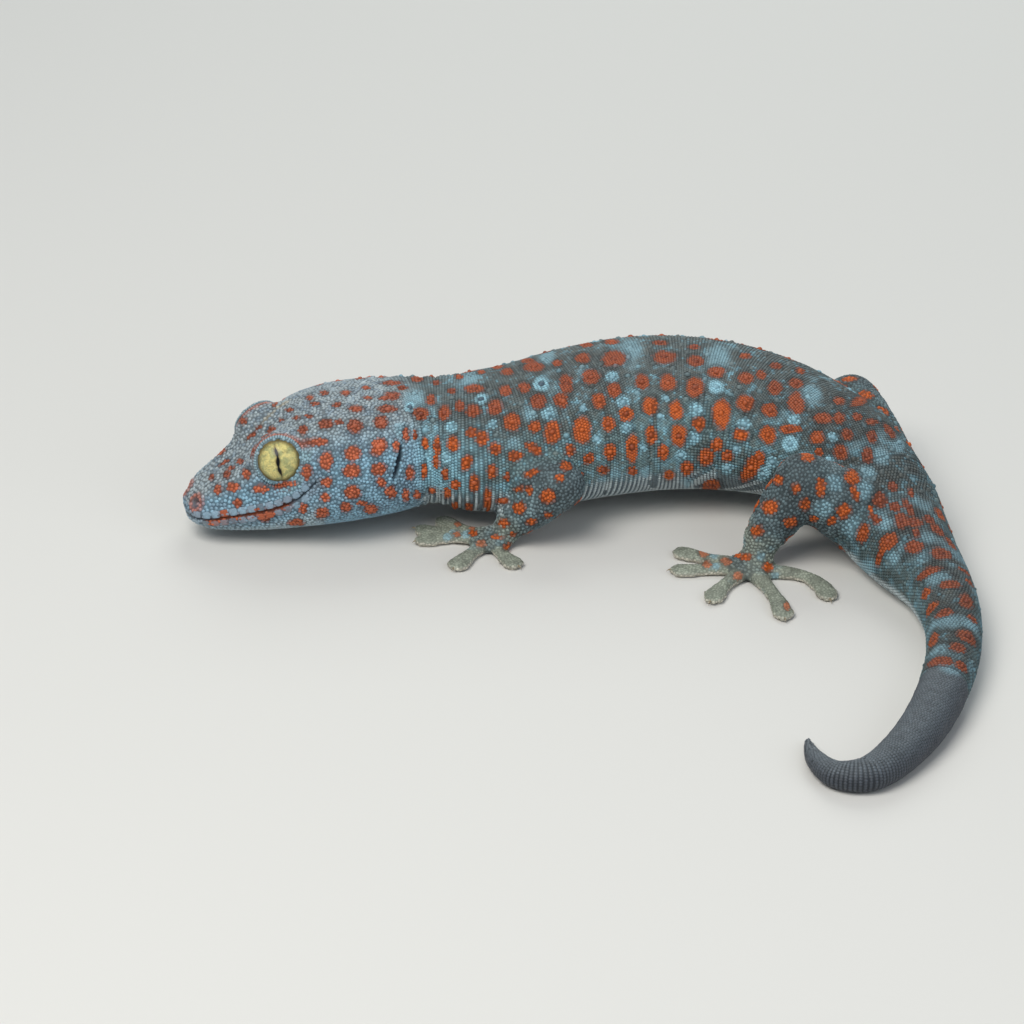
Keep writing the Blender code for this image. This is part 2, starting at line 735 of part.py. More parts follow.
def finish(parts):
    """Scales every piece to metres, sets the origin and gives each its own material."""
    place = Matrix.Scale(MM, 4) @ Matrix.Translation(-ORIGIN)
    for piece in parts.objects:
        piece.data.transform(place)
        piece.data.materials.clear()
        colour, roughness = colour_of(piece.name)
        piece.data.materials.append(material(piece.name, colour, roughness))
        piece.data.shade_smooth()
        piece.data.set_sharp_from_angle(angle=math.radians(50.0))


def main():
    clear_scene()
    parts = new_collection("tokay_gecko")
    helpers = new_collection("cutters", helper=True)
    track = body_track()
    head = make_head(parts, helpers, track)
    part_jaw(head, parts, helpers)
    make_eye("eye_left", 1, parts)
    make_eye("eye_right", -1, parts)
    body = make_body(parts, track)
    make_tubercles(head, body, track, helpers)
    make_legs(parts, helpers, track)
    finish(parts)


main()
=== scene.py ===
"""The looks of the tokay gecko: one skin under a coat of scales, the eyes, the claws and the light.

Lengths are in millimetres in the frame of the animal's stations, and each finished mesh is
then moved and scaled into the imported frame, in metres. X runs from the snout to the pelvis,
Y from the animal's left side to its right, and Z up from the floor.
"""

import math

import bmesh
import bpy
import numpy as np
from mathutils import Matrix, Vector
from mathutils.bvhtree import BVHTree
from mathutils.kdtree import KDTree


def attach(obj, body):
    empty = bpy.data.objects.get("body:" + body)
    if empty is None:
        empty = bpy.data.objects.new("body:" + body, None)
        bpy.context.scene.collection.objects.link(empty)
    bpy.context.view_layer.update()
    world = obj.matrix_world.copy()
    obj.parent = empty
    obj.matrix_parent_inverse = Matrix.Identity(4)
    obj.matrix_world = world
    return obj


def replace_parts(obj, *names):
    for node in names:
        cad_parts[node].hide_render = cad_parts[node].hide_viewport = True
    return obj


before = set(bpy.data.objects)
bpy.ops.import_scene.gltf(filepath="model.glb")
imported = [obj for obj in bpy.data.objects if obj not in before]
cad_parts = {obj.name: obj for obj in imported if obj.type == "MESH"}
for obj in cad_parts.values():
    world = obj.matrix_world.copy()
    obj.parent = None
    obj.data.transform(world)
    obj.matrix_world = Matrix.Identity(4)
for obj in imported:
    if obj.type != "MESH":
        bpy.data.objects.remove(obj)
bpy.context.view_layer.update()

MM = 0.001
ORIGIN = np.array((11.2, -29.0, 0.0))
TO_METRES = Matrix.Scale(MM, 4) @ Matrix.Translation(-Vector(ORIGIN))
FULL_TURN = 2.0 * math.pi
# The animal's left side and its right
SIDES = (1, -1)
# Smooth noise: how a seed shifts the lattice, and what scrambles its corners
SEED_STEP = 17.31
HASH_PRIMES = np.array((73856093, 19349663, 83492791))
HASH_CYCLE, HASH_TURN, HASH_GAIN = 100003, 12.9898, 43758.5453
# How many points are held against the body's line at a time
BATCH = 20000

# Camera, in the stations' frame
CAMERA_PLACE = np.array((0.0, -704.6, 374.6))
CAMERA_DOWN = math.radians(28.0)
FOCAL_PIXELS, FRAME_PIXELS, SENSOR = 4150.0, 1024.0, 36.0
CAMERA_RIGHT = np.array((1.0, 0.0, 0.0))
CAMERA_UP = np.array((0.0, math.sin(CAMERA_DOWN), math.cos(CAMERA_DOWN)))
CAMERA_AHEAD = np.array((0.0, math.cos(CAMERA_DOWN), -math.sin(CAMERA_DOWN)))

# Head: back from the snout, half width, underside, widest level, crown, squareness
SNOUT = np.array((-62.0, -10.0, 0.0))
HEAD_YAW = math.radians(17.0)
HEAD_LENGTH = 41.5
HEAD_STATIONS = (
    (0.5, 2.2, 4.9, 6.8, 8.4, 2.2),
    (1.1, 3.7, 4.0, 6.8, 9.3, 2.2),
    (2.3, 5.2, 3.0, 7.0, 10.5, 2.2),
    (4.0, 6.4, 2.2, 7.4, 11.8, 2.3),
    (7.0, 7.7, 1.8, 8.0, 13.5, 2.5),
    (11.0, 9.5, 1.8, 8.8, 16.2, 2.7),
    (15.0, 11.3, 1.8, 9.8, 19.4, 2.7),
    (19.0, 13.0, 1.9, 10.8, 22.2, 2.6),
    (24.0, 14.9, 2.0, 11.8, 24.5, 2.4),
    (30.0, 16.2, 2.1, 12.6, 25.6, 2.3),
    (36.0, 16.4, 2.2, 13.2, 25.7, 2.25),
)
# x, y, half width, underside, widest level, back
TRUNK_STATIONS = (
    (-20.5, 2.7, 15.4, 2.6, 13.6, 25.2),
    (-15.0, 3.4, 15.0, 3.5, 13.4, 24.8),
    (-7.0, 3.6, 17.0, 1.7, 13.0, 25.4),
    (3.0, 5.6, 17.8, 1.6, 13.4, 26.4),
    (14.0, 9.2, 18.3, 1.9, 14.2, 28.0),
    (26.0, 11.8, 18.5, 2.2, 14.8, 28.9),
    (38.0, 11.6, 18.0, 2.5, 14.6, 28.4),
    (49.0, 8.4, 16.6, 2.8, 13.8, 26.6),
    (58.0, 2.6, 14.6, 3.0, 12.6, 24.2),
    (65.0, -5.0, 12.4, 2.6, 11.4, 21.6),
    (69.5, -13.0, 10.4, 1.6, 9.4, 18.6),
)
# x, y, half width, height
TAIL_STATIONS = (
    (71.4, -20.5, 10.3, 15.6),
    (74.4, -29.5, 8.6, 13.4),
    (77.8, -38.5, 6.6, 11.6),
    (79.6, -50.0, 5.5, 10.4),
    (78.9, -61.5, 5.0, 9.4),
    (76.4, -72.5, 4.7, 8.8),
    (72.4, -84.0, 4.4, 8.0),
    (67.0, -94.0, 3.9, 7.0),
    (61.0, -100.5, 3.4, 6.0),
    (55.6, -100.0, 2.8, 4.9),
    (52.4, -94.5, 2.1, 3.7),
    (51.4, -88.5, 1.3, 2.4),
    (51.6, -85.0, 0.6, 1.3),
)
BODY_SQUARENESS = 2.25

EYE_BACK, EYE_OFF, EYE_UP = 17.2, 6.6, 17.3
EYE_RADIUS = 4.95
EYE_FORWARD = math.radians(18.0)
EYE_RAISED = math.radians(20.0)
EYE_OPENING = 3.95
ORBIT_RADIUS = 5.75
# In degrees from the way the eye looks: its opening's edge, and how far the lid spreads past it
LID_OPENING = math.degrees(math.asin(EYE_OPENING / EYE_RADIUS))
LID_SPREAD = 30.0

# Mouth line: back from the snout and above the floor
MOUTH_LINE = ((-2.0, 5.0), (4.0, 6.3), (10.0, 7.8), (15.0, 9.4), (19.0, 11.6), (22.3, 15.0))
EAR_BACK, EAR_OFF, EAR_UP = 37.8, 16.2, 17.5
EAR_HALF_WIDTH, EAR_HALF_HEIGHT, EAR_DEPTH = 0.62, 4.0, 1.0
EAR_LEAN = math.radians(24.0)
NOSTRIL_BACK, NOSTRIL_OFF, NOSTRIL_UP = 1.4, 3.2, 8.7
NOSTRIL_RIM = 1.45

# Legs: x, y, z and half thickness of each joint; palms: x, y, half length, half width, height
LEGS = {
    "foreleg_left": ((-3.0, -5.0, 13.0, 5.8), (9.4, -14.0, 13.0, 4.8), (0.0, -12.8, 4.4, 3.4)),
    "foreleg_right": ((-1.0, 14.0, 13.0, 5.8), (9.0, 23.6, 11.2, 4.8), (-2.6, 25.0, 4.4, 3.4)),
    "hindleg_left": ((66.5, -19.6, 8.6, 7.6), (54.2, -19.5, 17.0, 5.6), (46.8, -21.0, 5.6, 4.0)),
    "hindleg_right": ((71.0, -4.0, 10.6, 7.2), (66.0, 17.6, 15.2, 5.5), (57.0, 24.0, 5.6, 4.0)),
}
PALMS = {
    "foreleg_left": (-3.6, -13.4, 4.8, 4.4, 3.4),
    "foreleg_right": (-7.0, 26.0, 4.6, 4.2, 3.4),
    "hindleg_left": (44.6, -24.0, 4.8, 4.6, 3.6),
    "hindleg_right": (53.5, 27.5, 4.8, 4.6, 3.6),
}
# Toe tips from the innermost toe outwards: x, y and how far the toe bows
TOES = {
    "foreleg_left": (
        (-14.2, -4.0, 0.6),
        (-18.8, -8.2, 0.4),
        (-18.4, -13.6, -1.2),
        (-11.0, -24.4, -0.5),
        (1.4, -23.6, -0.8),
    ),
    "foreleg_right": (
        (-14.5, 17.0, -0.6),
        (-20.5, 20.6, -0.4),
        (-22.0, 28.0, 0.6),
        (-16.2, 37.6, 0.6),
        (-3.4, 37.6, 0.8),
    ),
    "hindleg_left": (
        (30.4, -16.8, 0.5),
        (29.4, -24.8, 0.3),
        (36.4, -37.2, -0.8),
        (50.0, -43.6, 0.8),
        (58.8, -36.4, 4.0),
    ),
    "hindleg_right": (
        (41.5, 18.8, -0.5),
        (38.0, 27.0, -0.4),
        (43.0, 38.6, 0.6),
        (55.4, 45.0, 0.6),
        (66.0, 37.0, -1.6),
    ),
}
# share of the toe's length, half width, height
TOE_STATIONS = (
    (0.0, 2.2, 2.7),
    (0.45, 1.6, 2.1),
    (0.66, 2.2, 1.9),
    (0.84, 2.55, 1.7),
    (0.95, 2.0, 1.5),
    (1.0, 0.9, 1.2),
)
# Toes: the run of their stations, their number, rings, squareness and the level of their middle
TOE_RUN = 20.0
TOE_COUNT = 5
TOE_RINGS = (0.0, 0.1, 0.2, 0.3, 0.4, 0.5, 0.6, 0.68, 0.76, 0.84, 0.9, 0.95, 0.98, 1.0)
TOE_SQUARENESS = 2.5
TOE_MIDDLE = 0.9
# Where a palm's middle stands in its height
PALM_LEVEL = 0.38
# Limbs: a length's width at its top as a share of the joint's, its swell, and its wrinkles
LIMB_TOP, LIMB_BULGE, LIMB_FOLDS = 0.94, 0.35, 5.5
# How finely the shells of the body and of limbs and balls are made
BODY_SIDES, ROUND_SIDES, BALL_RINGS = 80, 32, 20
# How far from its elbow or knee a leg reaches, and how high its foot
LEG_REACH, FOOT_TOP = 45.0, 4.5
# Where the foot's looks start, down a leg that has its wrist at 2 and its toe tips at 3
FOOT_START = 2.05

# How far apart the neck's folds stand, and where its fine skin ends
NECK_FOLD, NECK_END = 2.3, 55.0

# Skin: how far it lies inside the solids, its cell size, and how far soles lie off the floor
SKIN_INSET = 0.2
SKIN_CELL = 0.76
SOLE_LIFT = 0.14


def run_lengths(points):
    """How far along the line through the points each of them lies."""
    runs = np.linalg.norm(np.diff(points, axis=0), axis=1)
    return np.concatenate([[0.0], np.cumsum(runs)])


def circle(count):
    """The angles of a full turn in equal steps."""
    return np.arange(count) * FULL_TURN / count


def unit(vectors):
    return vectors / np.maximum(np.linalg.norm(vectors, axis=-1, keepdims=True), 1e-9)


def smooth_step(low, high, value):
    """A smooth rise from 0 at low to 1 at high, or a fall where low is the larger."""
    t = np.clip((value - low) / (high - low), 0.0, 1.0)
    return t * t * (3.0 - 2.0 * t)


def bell(value, width):
    return np.exp(-((value / width) ** 2))


def signed_power(value, power):
    return np.sign(value) * np.abs(value) ** power


def noise(points, cell, seed):
    """Smooth values from -1 to 1 on a lattice of that cell size."""
    p = points / cell + seed * SEED_STEP
    base = np.floor(p).astype(np.int64)
    t = p - base
    t = t * t * (3.0 - 2.0 * t)
    total = np.zeros(len(points))
    for corner in range(8):
        step = np.array((corner & 1, corner >> 1 & 1, corner >> 2 & 1))
        code = np.bitwise_xor.reduce((base + step) * HASH_PRIMES, axis=1)
        value = (np.sin(code % HASH_CYCLE * HASH_TURN) * HASH_GAIN) % 1.0
        total += np.prod(np.where(step, t, 1.0 - t), axis=1) * value
    return total * 2.0 - 1.0


class Track:
    """A smooth line through stations: the first columns are its path, the rest its sizes."""

    def __init__(self, stations, path_columns):
        self.rows = np.array(stations, float)
        self.at_row = run_lengths(self.rows[:, :path_columns])
        self.length = self.at_row[-1]
        low = np.maximum(np.arange(len(self.rows)) - 1, 0)
        high = np.minimum(np.arange(len(self.rows)) + 1, len(self.rows) - 1)
        spans = (self.at_row[high] - self.at_row[low])[:, None]
        self.slopes = (self.rows[high] - self.rows[low]) / spans

    def at(self, distance):
        d = np.clip(np.atleast_1d(np.asarray(distance, float)), 0.0, self.length)
        i = np.clip(np.searchsorted(self.at_row, d) - 1, 0, len(self.rows) - 2)
        run = (self.at_row[i + 1] - self.at_row[i])[:, None]
        t = (d - self.at_row[i])[:, None] / run
        return (
            (2 * t**3 - 3 * t**2 + 1) * self.rows[i]
            + (t**3 - 2 * t**2 + t) * run * self.slopes[i]
            + (3 * t**2 - 2 * t**3) * self.rows[i + 1]
            + (t**3 - t**2) * run * self.slopes[i + 1]
        )

    def heading(self, distance):
        d = np.atleast_1d(np.asarray(distance, float))
        return unit((self.at(d + 0.2) - self.at(d - 0.2))[:, :2])


HEAD_REAR = np.array((math.cos(HEAD_YAW), math.sin(HEAD_YAW), 0.0))
HEAD_LEFT = np.array((HEAD_REAR[1], -HEAD_REAR[0], 0.0))


def head_point(back, off, up):
    """A point of the head; off is positive towards the animal's left side."""
    return SNOUT + HEAD_REAR * back + HEAD_LEFT * off + np.array((0.0, 0.0, up))


def head_coordinates(points):
    """Back from the snout, off to the left and up, for points in the stations' frame."""
    local = points - SNOUT
    return local @ HEAD_REAR, local @ HEAD_LEFT, points[:, 2]


def body_stations():
    rows = []
    for back, *sizes in HEAD_STATIONS:
        x, y, _ = head_point(back, 0.0, 0.0)
        rows.append((x, y, *sizes))
    rows.extend((*row, BODY_SQUARENESS) for row in TRUNK_STATIONS)
    for x, y, width, height in TAIL_STATIONS:
        rows.append((x, y, width, -0.04 * height, 0.46 * height, height, BODY_SQUARENESS))
    return rows


BODY = Track(body_stations(), 2)
TAIL_ROW = len(HEAD_STATIONS) + len(TRUNK_STATIONS)
TAIL_START = BODY.at_row[TAIL_ROW]
REGROWN_START = BODY.at_row[TAIL_ROW + 5] + 1.5


def body_points(distance, angle, grow=0.0):
    """Points of the body's surface at distances along it and angles round it."""
    x, y, width, low, wide, top, square = BODY.at(distance).T
    ahead = BODY.heading(distance)
    across = signed_power(np.cos(angle), 2.0 / square)
    up = signed_power(np.sin(angle), 2.0 / square)
    reach = np.where(up > 0.0, top - wide, wide - low) + grow
    off = across * (width + grow)
    level = np.maximum(wide + up * reach, SOLE_LIFT)
    return np.stack([x + ahead[:, 1] * off, y - ahead[:, 0] * off, level], -1)


def loft_shell(rings):
    """Points and faces of a closed skin over rings of like counts."""
    rings = np.asarray(rings)
    count, sides = rings.shape[:2]
    here = np.arange(sides)
    after = (here + 1) % sides
    faces = []
    for low in range(0, (count - 1) * sides, sides):
        high = low + sides
        quads = np.stack([low + here, low + after, high + after, high + here], -1)
        faces.extend(quads.tolist())
    faces.append(here[::-1].tolist())
    faces.append((here + (count - 1) * sides).tolist())
    return rings.reshape(-1, 3), faces


def body_shell():
    stops = [*np.arange(0.0, 3.0, 0.3), *np.arange(3.0, BODY.length, 0.9), BODY.length]
    turns = circle(BODY_SIDES)
    return loft_shell([body_points(np.full(BODY_SIDES, s), turns, -SKIN_INSET) for s in stops])


def axis_frame(axis):
    """Two directions square to an axis."""
    turn = Vector(axis).to_track_quat("Z", "Y").to_matrix()
    return np.array(turn.col[0]), np.array(turn.col[1])


def limb_shell(start, end):
    """A tapering round length from one joint to the next, with round ends."""
    base, tip = np.array(start[:3]), np.array(end[:3])
    first, last = start[3] * LIMB_TOP, end[3]
    axis = unit(tip - base)
    side, up = axis_frame(axis)
    length = np.linalg.norm(tip - base)
    profile = [(-start[3] * 0.9 * math.cos(a), first * math.sin(a)) for a in (0.3, 0.7, 1.1)]
    for share in np.linspace(0.0, 1.0, 14):
        bulge = LIMB_BULGE * math.sin(math.pi * share)
        profile.append((length * share, first * (1 - share) + last * share + bulge))
    for a in np.radians((15.0, 30.0, 45.0, 60.0, 75.0, 86.0)):
        profile.append((length + last * math.sin(a), last * math.cos(a)))
    turns = circle(ROUND_SIDES)
    spread = np.outer(np.cos(turns), side) + np.outer(np.sin(turns), up)
    rings = []
    for along, radius in profile:
        rings.append(base + axis * along + spread * max(radius - SKIN_INSET, 0.1))
    return loft_shell(rings)


def ball_shell(centre, radii, turn=0.0):
    """A ball as rings from its lower to its upper pole."""
    turns = circle(ROUND_SIDES)
    rows = []
    for k in range(BALL_RINGS + 1):
        a = math.pi * (0.03 + 0.94 * k / BALL_RINGS) - math.pi / 2
        x = np.cos(turns) * math.cos(a) * radii[0]
        y = np.sin(turns) * math.cos(a) * radii[1]
        rows.append(np.column_stack([x, y, np.full(ROUND_SIDES, math.sin(a) * radii[2])]))
    rows = np.array(rows) @ np.array(Matrix.Rotation(turn, 3, "Z")).T
    return loft_shell(rows + np.asarray(centre))


def palm_shell(leg):
    x, y, half_length, half_width, height = PALMS[leg]
    wrist = LEGS[leg][2]
    half_height = (1.0 - PALM_LEVEL) * height
    radii = np.array((half_length, half_width, half_height)) - SKIN_INSET
    turn = math.atan2(y - wrist[1], x - wrist[0])
    points, faces = ball_shell((x, y, PALM_LEVEL * height), radii, turn)
    points[:, 2] = np.maximum(points[:, 2], SOLE_LIFT)
    return points, faces


TOE_SIZES = Track([(share * TOE_RUN, w, h) for share, w, h in TOE_STATIONS], 1)


def toe_line(leg, toe, share):
    """Points of a toe's middle line on the floor at shares of its length."""
    share = np.atleast_1d(share)[:, None]
    palm, tip = np.array(PALMS[leg][:2]), np.array(TOES[leg][toe][:2])
    start = palm + (tip - palm) * 0.12
    run = tip - start
    across = unit(np.array((-run[1], run[0])))
    return start + run * share + across * TOES[leg][toe][2] * np.sin(math.pi * share)


def toe_shell(leg, toe):
    """A toe with a flat sole that widens into its pad."""
    turns = np.linspace(0.0, math.pi, 17)
    across = signed_power(np.cos(turns), 2.0 / TOE_SQUARENESS)
    up = signed_power(np.sin(turns), 2.0 / TOE_SQUARENESS)
    rings = []
    for share in TOE_RINGS:
        _, width, height = TOE_SIZES.at(share * TOE_RUN)[0]
        middle = toe_line(leg, toe, share)[0]
        ends = toe_line(leg, toe, [max(share - 0.02, 0.0), min(share + 0.02, 1.0)])
        ahead = unit(ends[1] - ends[0])
        off = np.outer(across * (width - SKIN_INSET), (-ahead[1], ahead[0]))
        level = SOLE_LIFT + up * (height - SKIN_INSET - SOLE_LIFT)
        rings.append(np.column_stack([middle + off, level]))
    return loft_shell(rings)


def eye_centre(side):
    return head_point(EYE_BACK, side * EYE_OFF, EYE_UP)


def eye_axis(side):
    """The way an eye looks: out to its side, turned forwards and up."""
    out = head_point(-math.sin(EYE_FORWARD), side * math.cos(EYE_FORWARD), 0.0) - SNOUT
    return out * math.cos(EYE_RAISED) + np.array((0.0, 0.0, math.sin(EYE_RAISED)))


def linked(name, data):
    """An object in the scene that shows a mesh, a lamp or a camera."""
    made = bpy.data.objects.new(name, data)
    bpy.context.scene.collection.objects.link(made)
    return made


def joined(name, shells):
    """One mesh object of several shells."""
    points, faces, shift = [], [], 0
    for shell_points, shell_faces in shells:
        points.append(shell_points)
        faces.extend([index + shift for index in face] for face in shell_faces)
        shift += len(shell_points)
    mesh = bpy.data.meshes.new(name)
    mesh.from_pydata(np.concatenate(points).tolist(), [], faces)
    return linked(name, mesh)


def mesh_of(bm, name):
    mesh = bpy.data.meshes.new(name)
    bm.to_mesh(mesh)
    bm.free()
    return mesh


def skin_shells():
    """The forms that are fused into the skin."""
    yield body_shell()
    for side in SIDES:
        yield ball_shell(eye_centre(side), (ORBIT_RADIUS - SKIN_INSET,) * 3)
    for leg, joints in LEGS.items():
        yield limb_shell(joints[0], joints[1])
        yield limb_shell(joints[1], joints[2])
        yield palm_shell(leg)
        for toe in range(TOE_COUNT):
            yield toe_shell(leg, toe)


def remesh(piece):
    """Fuses the shells into one even surface."""
    modifier = piece.modifiers.new("fuse", "REMESH")
    modifier.mode = "VOXEL"
    modifier.voxel_size = SKIN_CELL
    graph = bpy.context.evaluated_depsgraph_get()
    mesh = bpy.data.meshes.new_from_object(piece.evaluated_get(graph))
    piece.modifiers.clear()
    piece.data = mesh


def vertices_of(mesh):
    points = np.empty(len(mesh.vertices) * 3)
    mesh.vertices.foreach_get("co", points)
    return points.reshape(-1, 3)


def normals_of(mesh):
    normals = np.empty(len(mesh.vertices) * 3, np.float32)
    mesh.vertex_normals.foreach_get("vector", normals)
    return normals.reshape(-1, 3).astype(float)


def set_vertices(mesh, points):
    mesh.vertices.foreach_set("co", points.astype(np.float32).ravel())
    mesh.update()


def relax(mesh, weight, rounds):
    """Moves each vertex towards the middle of its neighbours, by its weight."""
    edges = np.empty(len(mesh.edges) * 2, np.int32)
    mesh.edges.foreach_get("vertices", edges)
    a, b = edges.reshape(-1, 2).T
    points = vertices_of(mesh)
    degree = np.bincount(np.concatenate([a, b]), minlength=len(points))[:, None]
    for _ in range(rounds):
        total = np.empty_like(points)
        for axis in range(3):
            total[:, axis] = np.bincount(a, points[b, axis], len(points))
            total[:, axis] += np.bincount(b, points[a, axis], len(points))
        points += (total / degree - points) * weight[:, None]
    set_vertices(mesh, points)


def creases():
    """Where two shells meet in a crease that real skin rounds off: centre, radius, strength."""
    for side in SIDES:
        yield eye_centre(side), 8.0, 0.5
    for joints in LEGS.values():
        for joint, reach in zip(joints, (1.9, 1.35, 1.6)):
            yield np.array(joint[:3]), joint[3] * reach, 0.6


def crease_weight(points):
    weight = np.full(len(points), 0.12)
    for centre, radius, most in creases():
        away = np.linalg.norm(points - centre, axis=1)
        weight = np.maximum(weight, most * (1.0 - smooth_step(0.7 * radius, radius, away)))
    return weight


def body_coordinates(points):
    """Distance along the body, angle round it and depth share (1 on its surface)."""
    stops = np.arange(0.0, BODY.length, 0.5)
    path = BODY.at(stops)[:, :2]
    nearest = np.empty(len(points), int)
    for start in range(0, len(points), BATCH):
        batch = slice(start, start + BATCH)
        nearest[batch] = np.argmin(((points[batch, None, :2] - path) ** 2).sum(-1), axis=1)
    ahead = BODY.heading(stops)[nearest]
    local = points[:, :2] - path[nearest]
    distance = np.clip(stops[nearest] + (local * ahead).sum(1), 0.0, BODY.length)
    off = local[:, 0] * ahead[:, 1] - local[:, 1] * ahead[:, 0]
    _, _, width, low, wide, top, square = BODY.at(distance).T
    height = points[:, 2] - wide
    u = off / width
    v = height / np.where(height > 0.0, top - wide, wide - low)
    angle = np.arctan2(signed_power(v, square / 2), signed_power(u, square / 2))
    share = (np.abs(u) ** square + np.abs(v) ** square) ** (1.0 / square)
    return distance, angle, share


def limb_gap(points, joints):
    """How far points lie off a leg's two lengths, and how far down the leg, from 0 to 2."""
    best = np.full(len(points), 1e9)
    along = np.zeros(len(points))
    for k, (start, end) in enumerate(zip(joints, joints[1:])):
        base, run = np.array(start[:3]), np.array(end[:3]) - np.array(start[:3])
        share = np.clip((points - base) @ run / (run @ run), 0.0, 1.0)
        radius = start[3] + (end[3] - start[3]) * share
        gap = np.linalg.norm(points - base - share[:, None] * run, axis=1) - radius
        along = np.where(gap < best, k + share, along)
        best = np.minimum(best, gap)
    return best, along


def toe_gap(points, leg):
    """How far points lie off a foot, how far along it (2 to 3) and which toe is nearest."""
    x, y, half_length, _, height = PALMS[leg]
    best = np.linalg.norm(points - (x, y, 0.3 * height), axis=1) - half_length
    along = np.full(len(points), 2.0)
    nearest = np.zeros(len(points), int)
    shares = np.linspace(0.0, 1.0, 15)
    sizes = TOE_SIZES.at(shares * TOE_RUN)[:, 1]
    for toe in range(TOE_COUNT):
        line = np.column_stack([toe_line(leg, toe, shares), np.full(len(shares), TOE_MIDDLE)])
        away = np.linalg.norm(points[:, None] - line, axis=2) - sizes
        k = np.argmin(away, axis=1)
        gap = away[np.arange(len(points)), k]
        closer = gap < best
        along = np.where(closer, 2.0 + shares[k], along)
        nearest = np.where(closer, toe, nearest)
        best = np.minimum(best, gap)
    return best, along, nearest


class Places:
    """Where points lie on the animal: region 0 is the body, 1 to 4 the legs.

    The lead is how much nearer a leg's surface is than the next nearest one.
    """

    def __init__(self, points):
        self.points = points
        self.distance, self.angle, share = body_coordinates(points)
        width = BODY.at(self.distance)[:, 2]
        best = np.abs(share - 1.0) * width
        self.region = np.zeros(len(points), int)
        self.along = np.zeros(len(points))
        self.lead = np.zeros(len(points))
        self.toe = np.zeros(len(points), int)
        for k, leg in enumerate(LEGS):
            near = np.linalg.norm(points - LEGS[leg][1][:3], axis=1) < LEG_REACH
            near = np.flatnonzero(near)
            some = points[near]
            gap, along = limb_gap(some, LEGS[leg])
            foot_gap, foot_along, toe = toe_gap(some, leg)
            on_foot = (foot_gap < gap) & (some[:, 2] < FOOT_TOP)
            gap = np.abs(np.where(on_foot, foot_gap, gap))
            along = np.where(on_foot, foot_along, along)
            closer = gap < best[near]
            chosen = near[closer]
            self.region[chosen] = k + 1
            self.along[chosen] = along[closer]
            self.toe[chosen] = toe[closer]
            self.lead[chosen] = best[chosen] - gap[closer]
            best[chosen] = gap[closer]

    def pick(self, keep):
        made = object.__new__(Places)
        for name, value in vars(self).items():
            setattr(made, name, value[keep])
        return made


def lie_of(places):
    """The way scales lie: along the body to the tail, and down each leg to the toes."""
    ahead = BODY.heading(places.distance)
    lie = np.column_stack([ahead, np.zeros(len(ahead))])
    for k, leg in enumerate(LEGS):
        joints = np.array([joint[:3] for joint in LEGS[leg]])
        on = places.region == k + 1
        upper = on & (places.along < 1.0)
        lower = on & (places.along >= 1.0) & (places.along < 2.0)
        lie[upper] = joints[1] - joints[0]
        lie[lower] = joints[2] - joints[1]
        for toe in range(TOE_COUNT):
            ends = toe_line(leg, toe, [0.0, 1.0])
            chosen = on & (places.along >= 2.0) & (places.toe == toe)
            lie[chosen] = (*(ends[1] - ends[0]), 0.0)
    return unit(lie)


def refine(mesh, chosen):
    """Splits the faces whose vertices are all chosen into four."""
    bm = bmesh.new()
    bm.from_mesh(mesh)
    bm.verts.ensure_lookup_table()
    edges = [e for e in bm.edges if chosen[e.verts[0].index] and chosen[e.verts[1].index]]
    bmesh.ops.subdivide_edges(bm, edges=edges, cuts=1, use_grid_fill=True)
    bm.to_mesh(mesh)
    bm.free()


def line_distance(back, up, line):
    """Signed distance from a profile line, positive above it, and how far along it."""
    best = np.full(len(back), 1e9)
    signed = np.full(len(back), 1e9)
    travelled = np.zeros(len(back))
    done = 0.0
    for (x0, z0), (x1, z1) in zip(line, line[1:]):
        run = np.array((x1 - x0, z1 - z0))
        length = np.linalg.norm(run)
        share = np.clip(((back - x0) * run[0] + (up - z0) * run[1]) / length**2, 0.0, 1.0)
        dx, dz = back - x0 - run[0] * share, up - z0 - run[1] * share
        away = np.hypot(dx, dz)
        side = np.sign(run[0] * dz - run[1] * dx)
        closer = away < best
        signed = np.where(closer, away * np.where(side == 0, 1.0, side), signed)
        travelled = np.where(closer, done + length * share, travelled)
        best = np.minimum(best, away)
        done += length
    return signed, travelled


def mouth_relief(back, up):
    """The groove of the mouth and the swell of the lips on both sides of it."""
    gap, travelled = line_distance(back, up, MOUTH_LINE)
    on_head = (back < 22.6).astype(float)
    lips = 0.42 * bell(np.abs(gap) - 0.85, 0.8)
    groove = (0.35 + 0.4 * smooth_step(13.0, 18.0, travelled)) * bell(gap, 0.26)
    corner = 1.0 - 0.75 * smooth_step(20.0, 24.0, travelled)
    return (lips * corner - groove) * on_head


def nostril_distance(back, off, up):
    ahead, aside = back - NOSTRIL_BACK, np.abs(off) - NOSTRIL_OFF
    return np.sqrt(ahead**2 + aside**2 + (up - NOSTRIL_UP) ** 2)


def nostril_relief(back, off, up):
    away = nostril_distance(back, off, up)
    return 0.28 * bell(away - NOSTRIL_RIM, 0.5) - 0.9 * (1.0 - smooth_step(0.4, 1.0, away))


def ear_share(back, off, up):
    """How far out of the ear's slit, 1 at its edge, and how far across it."""
    x, z = back - EAR_BACK, up - EAR_UP
    across = x * math.cos(EAR_LEAN) - z * math.sin(EAR_LEAN)
    along = x * math.sin(EAR_LEAN) + z * math.cos(EAR_LEAN)
    share = np.hypot(across / EAR_HALF_WIDTH, along / EAR_HALF_HEIGHT)
    return np.where(np.abs(off) > 0.6 * EAR_OFF, share, 9.0), across


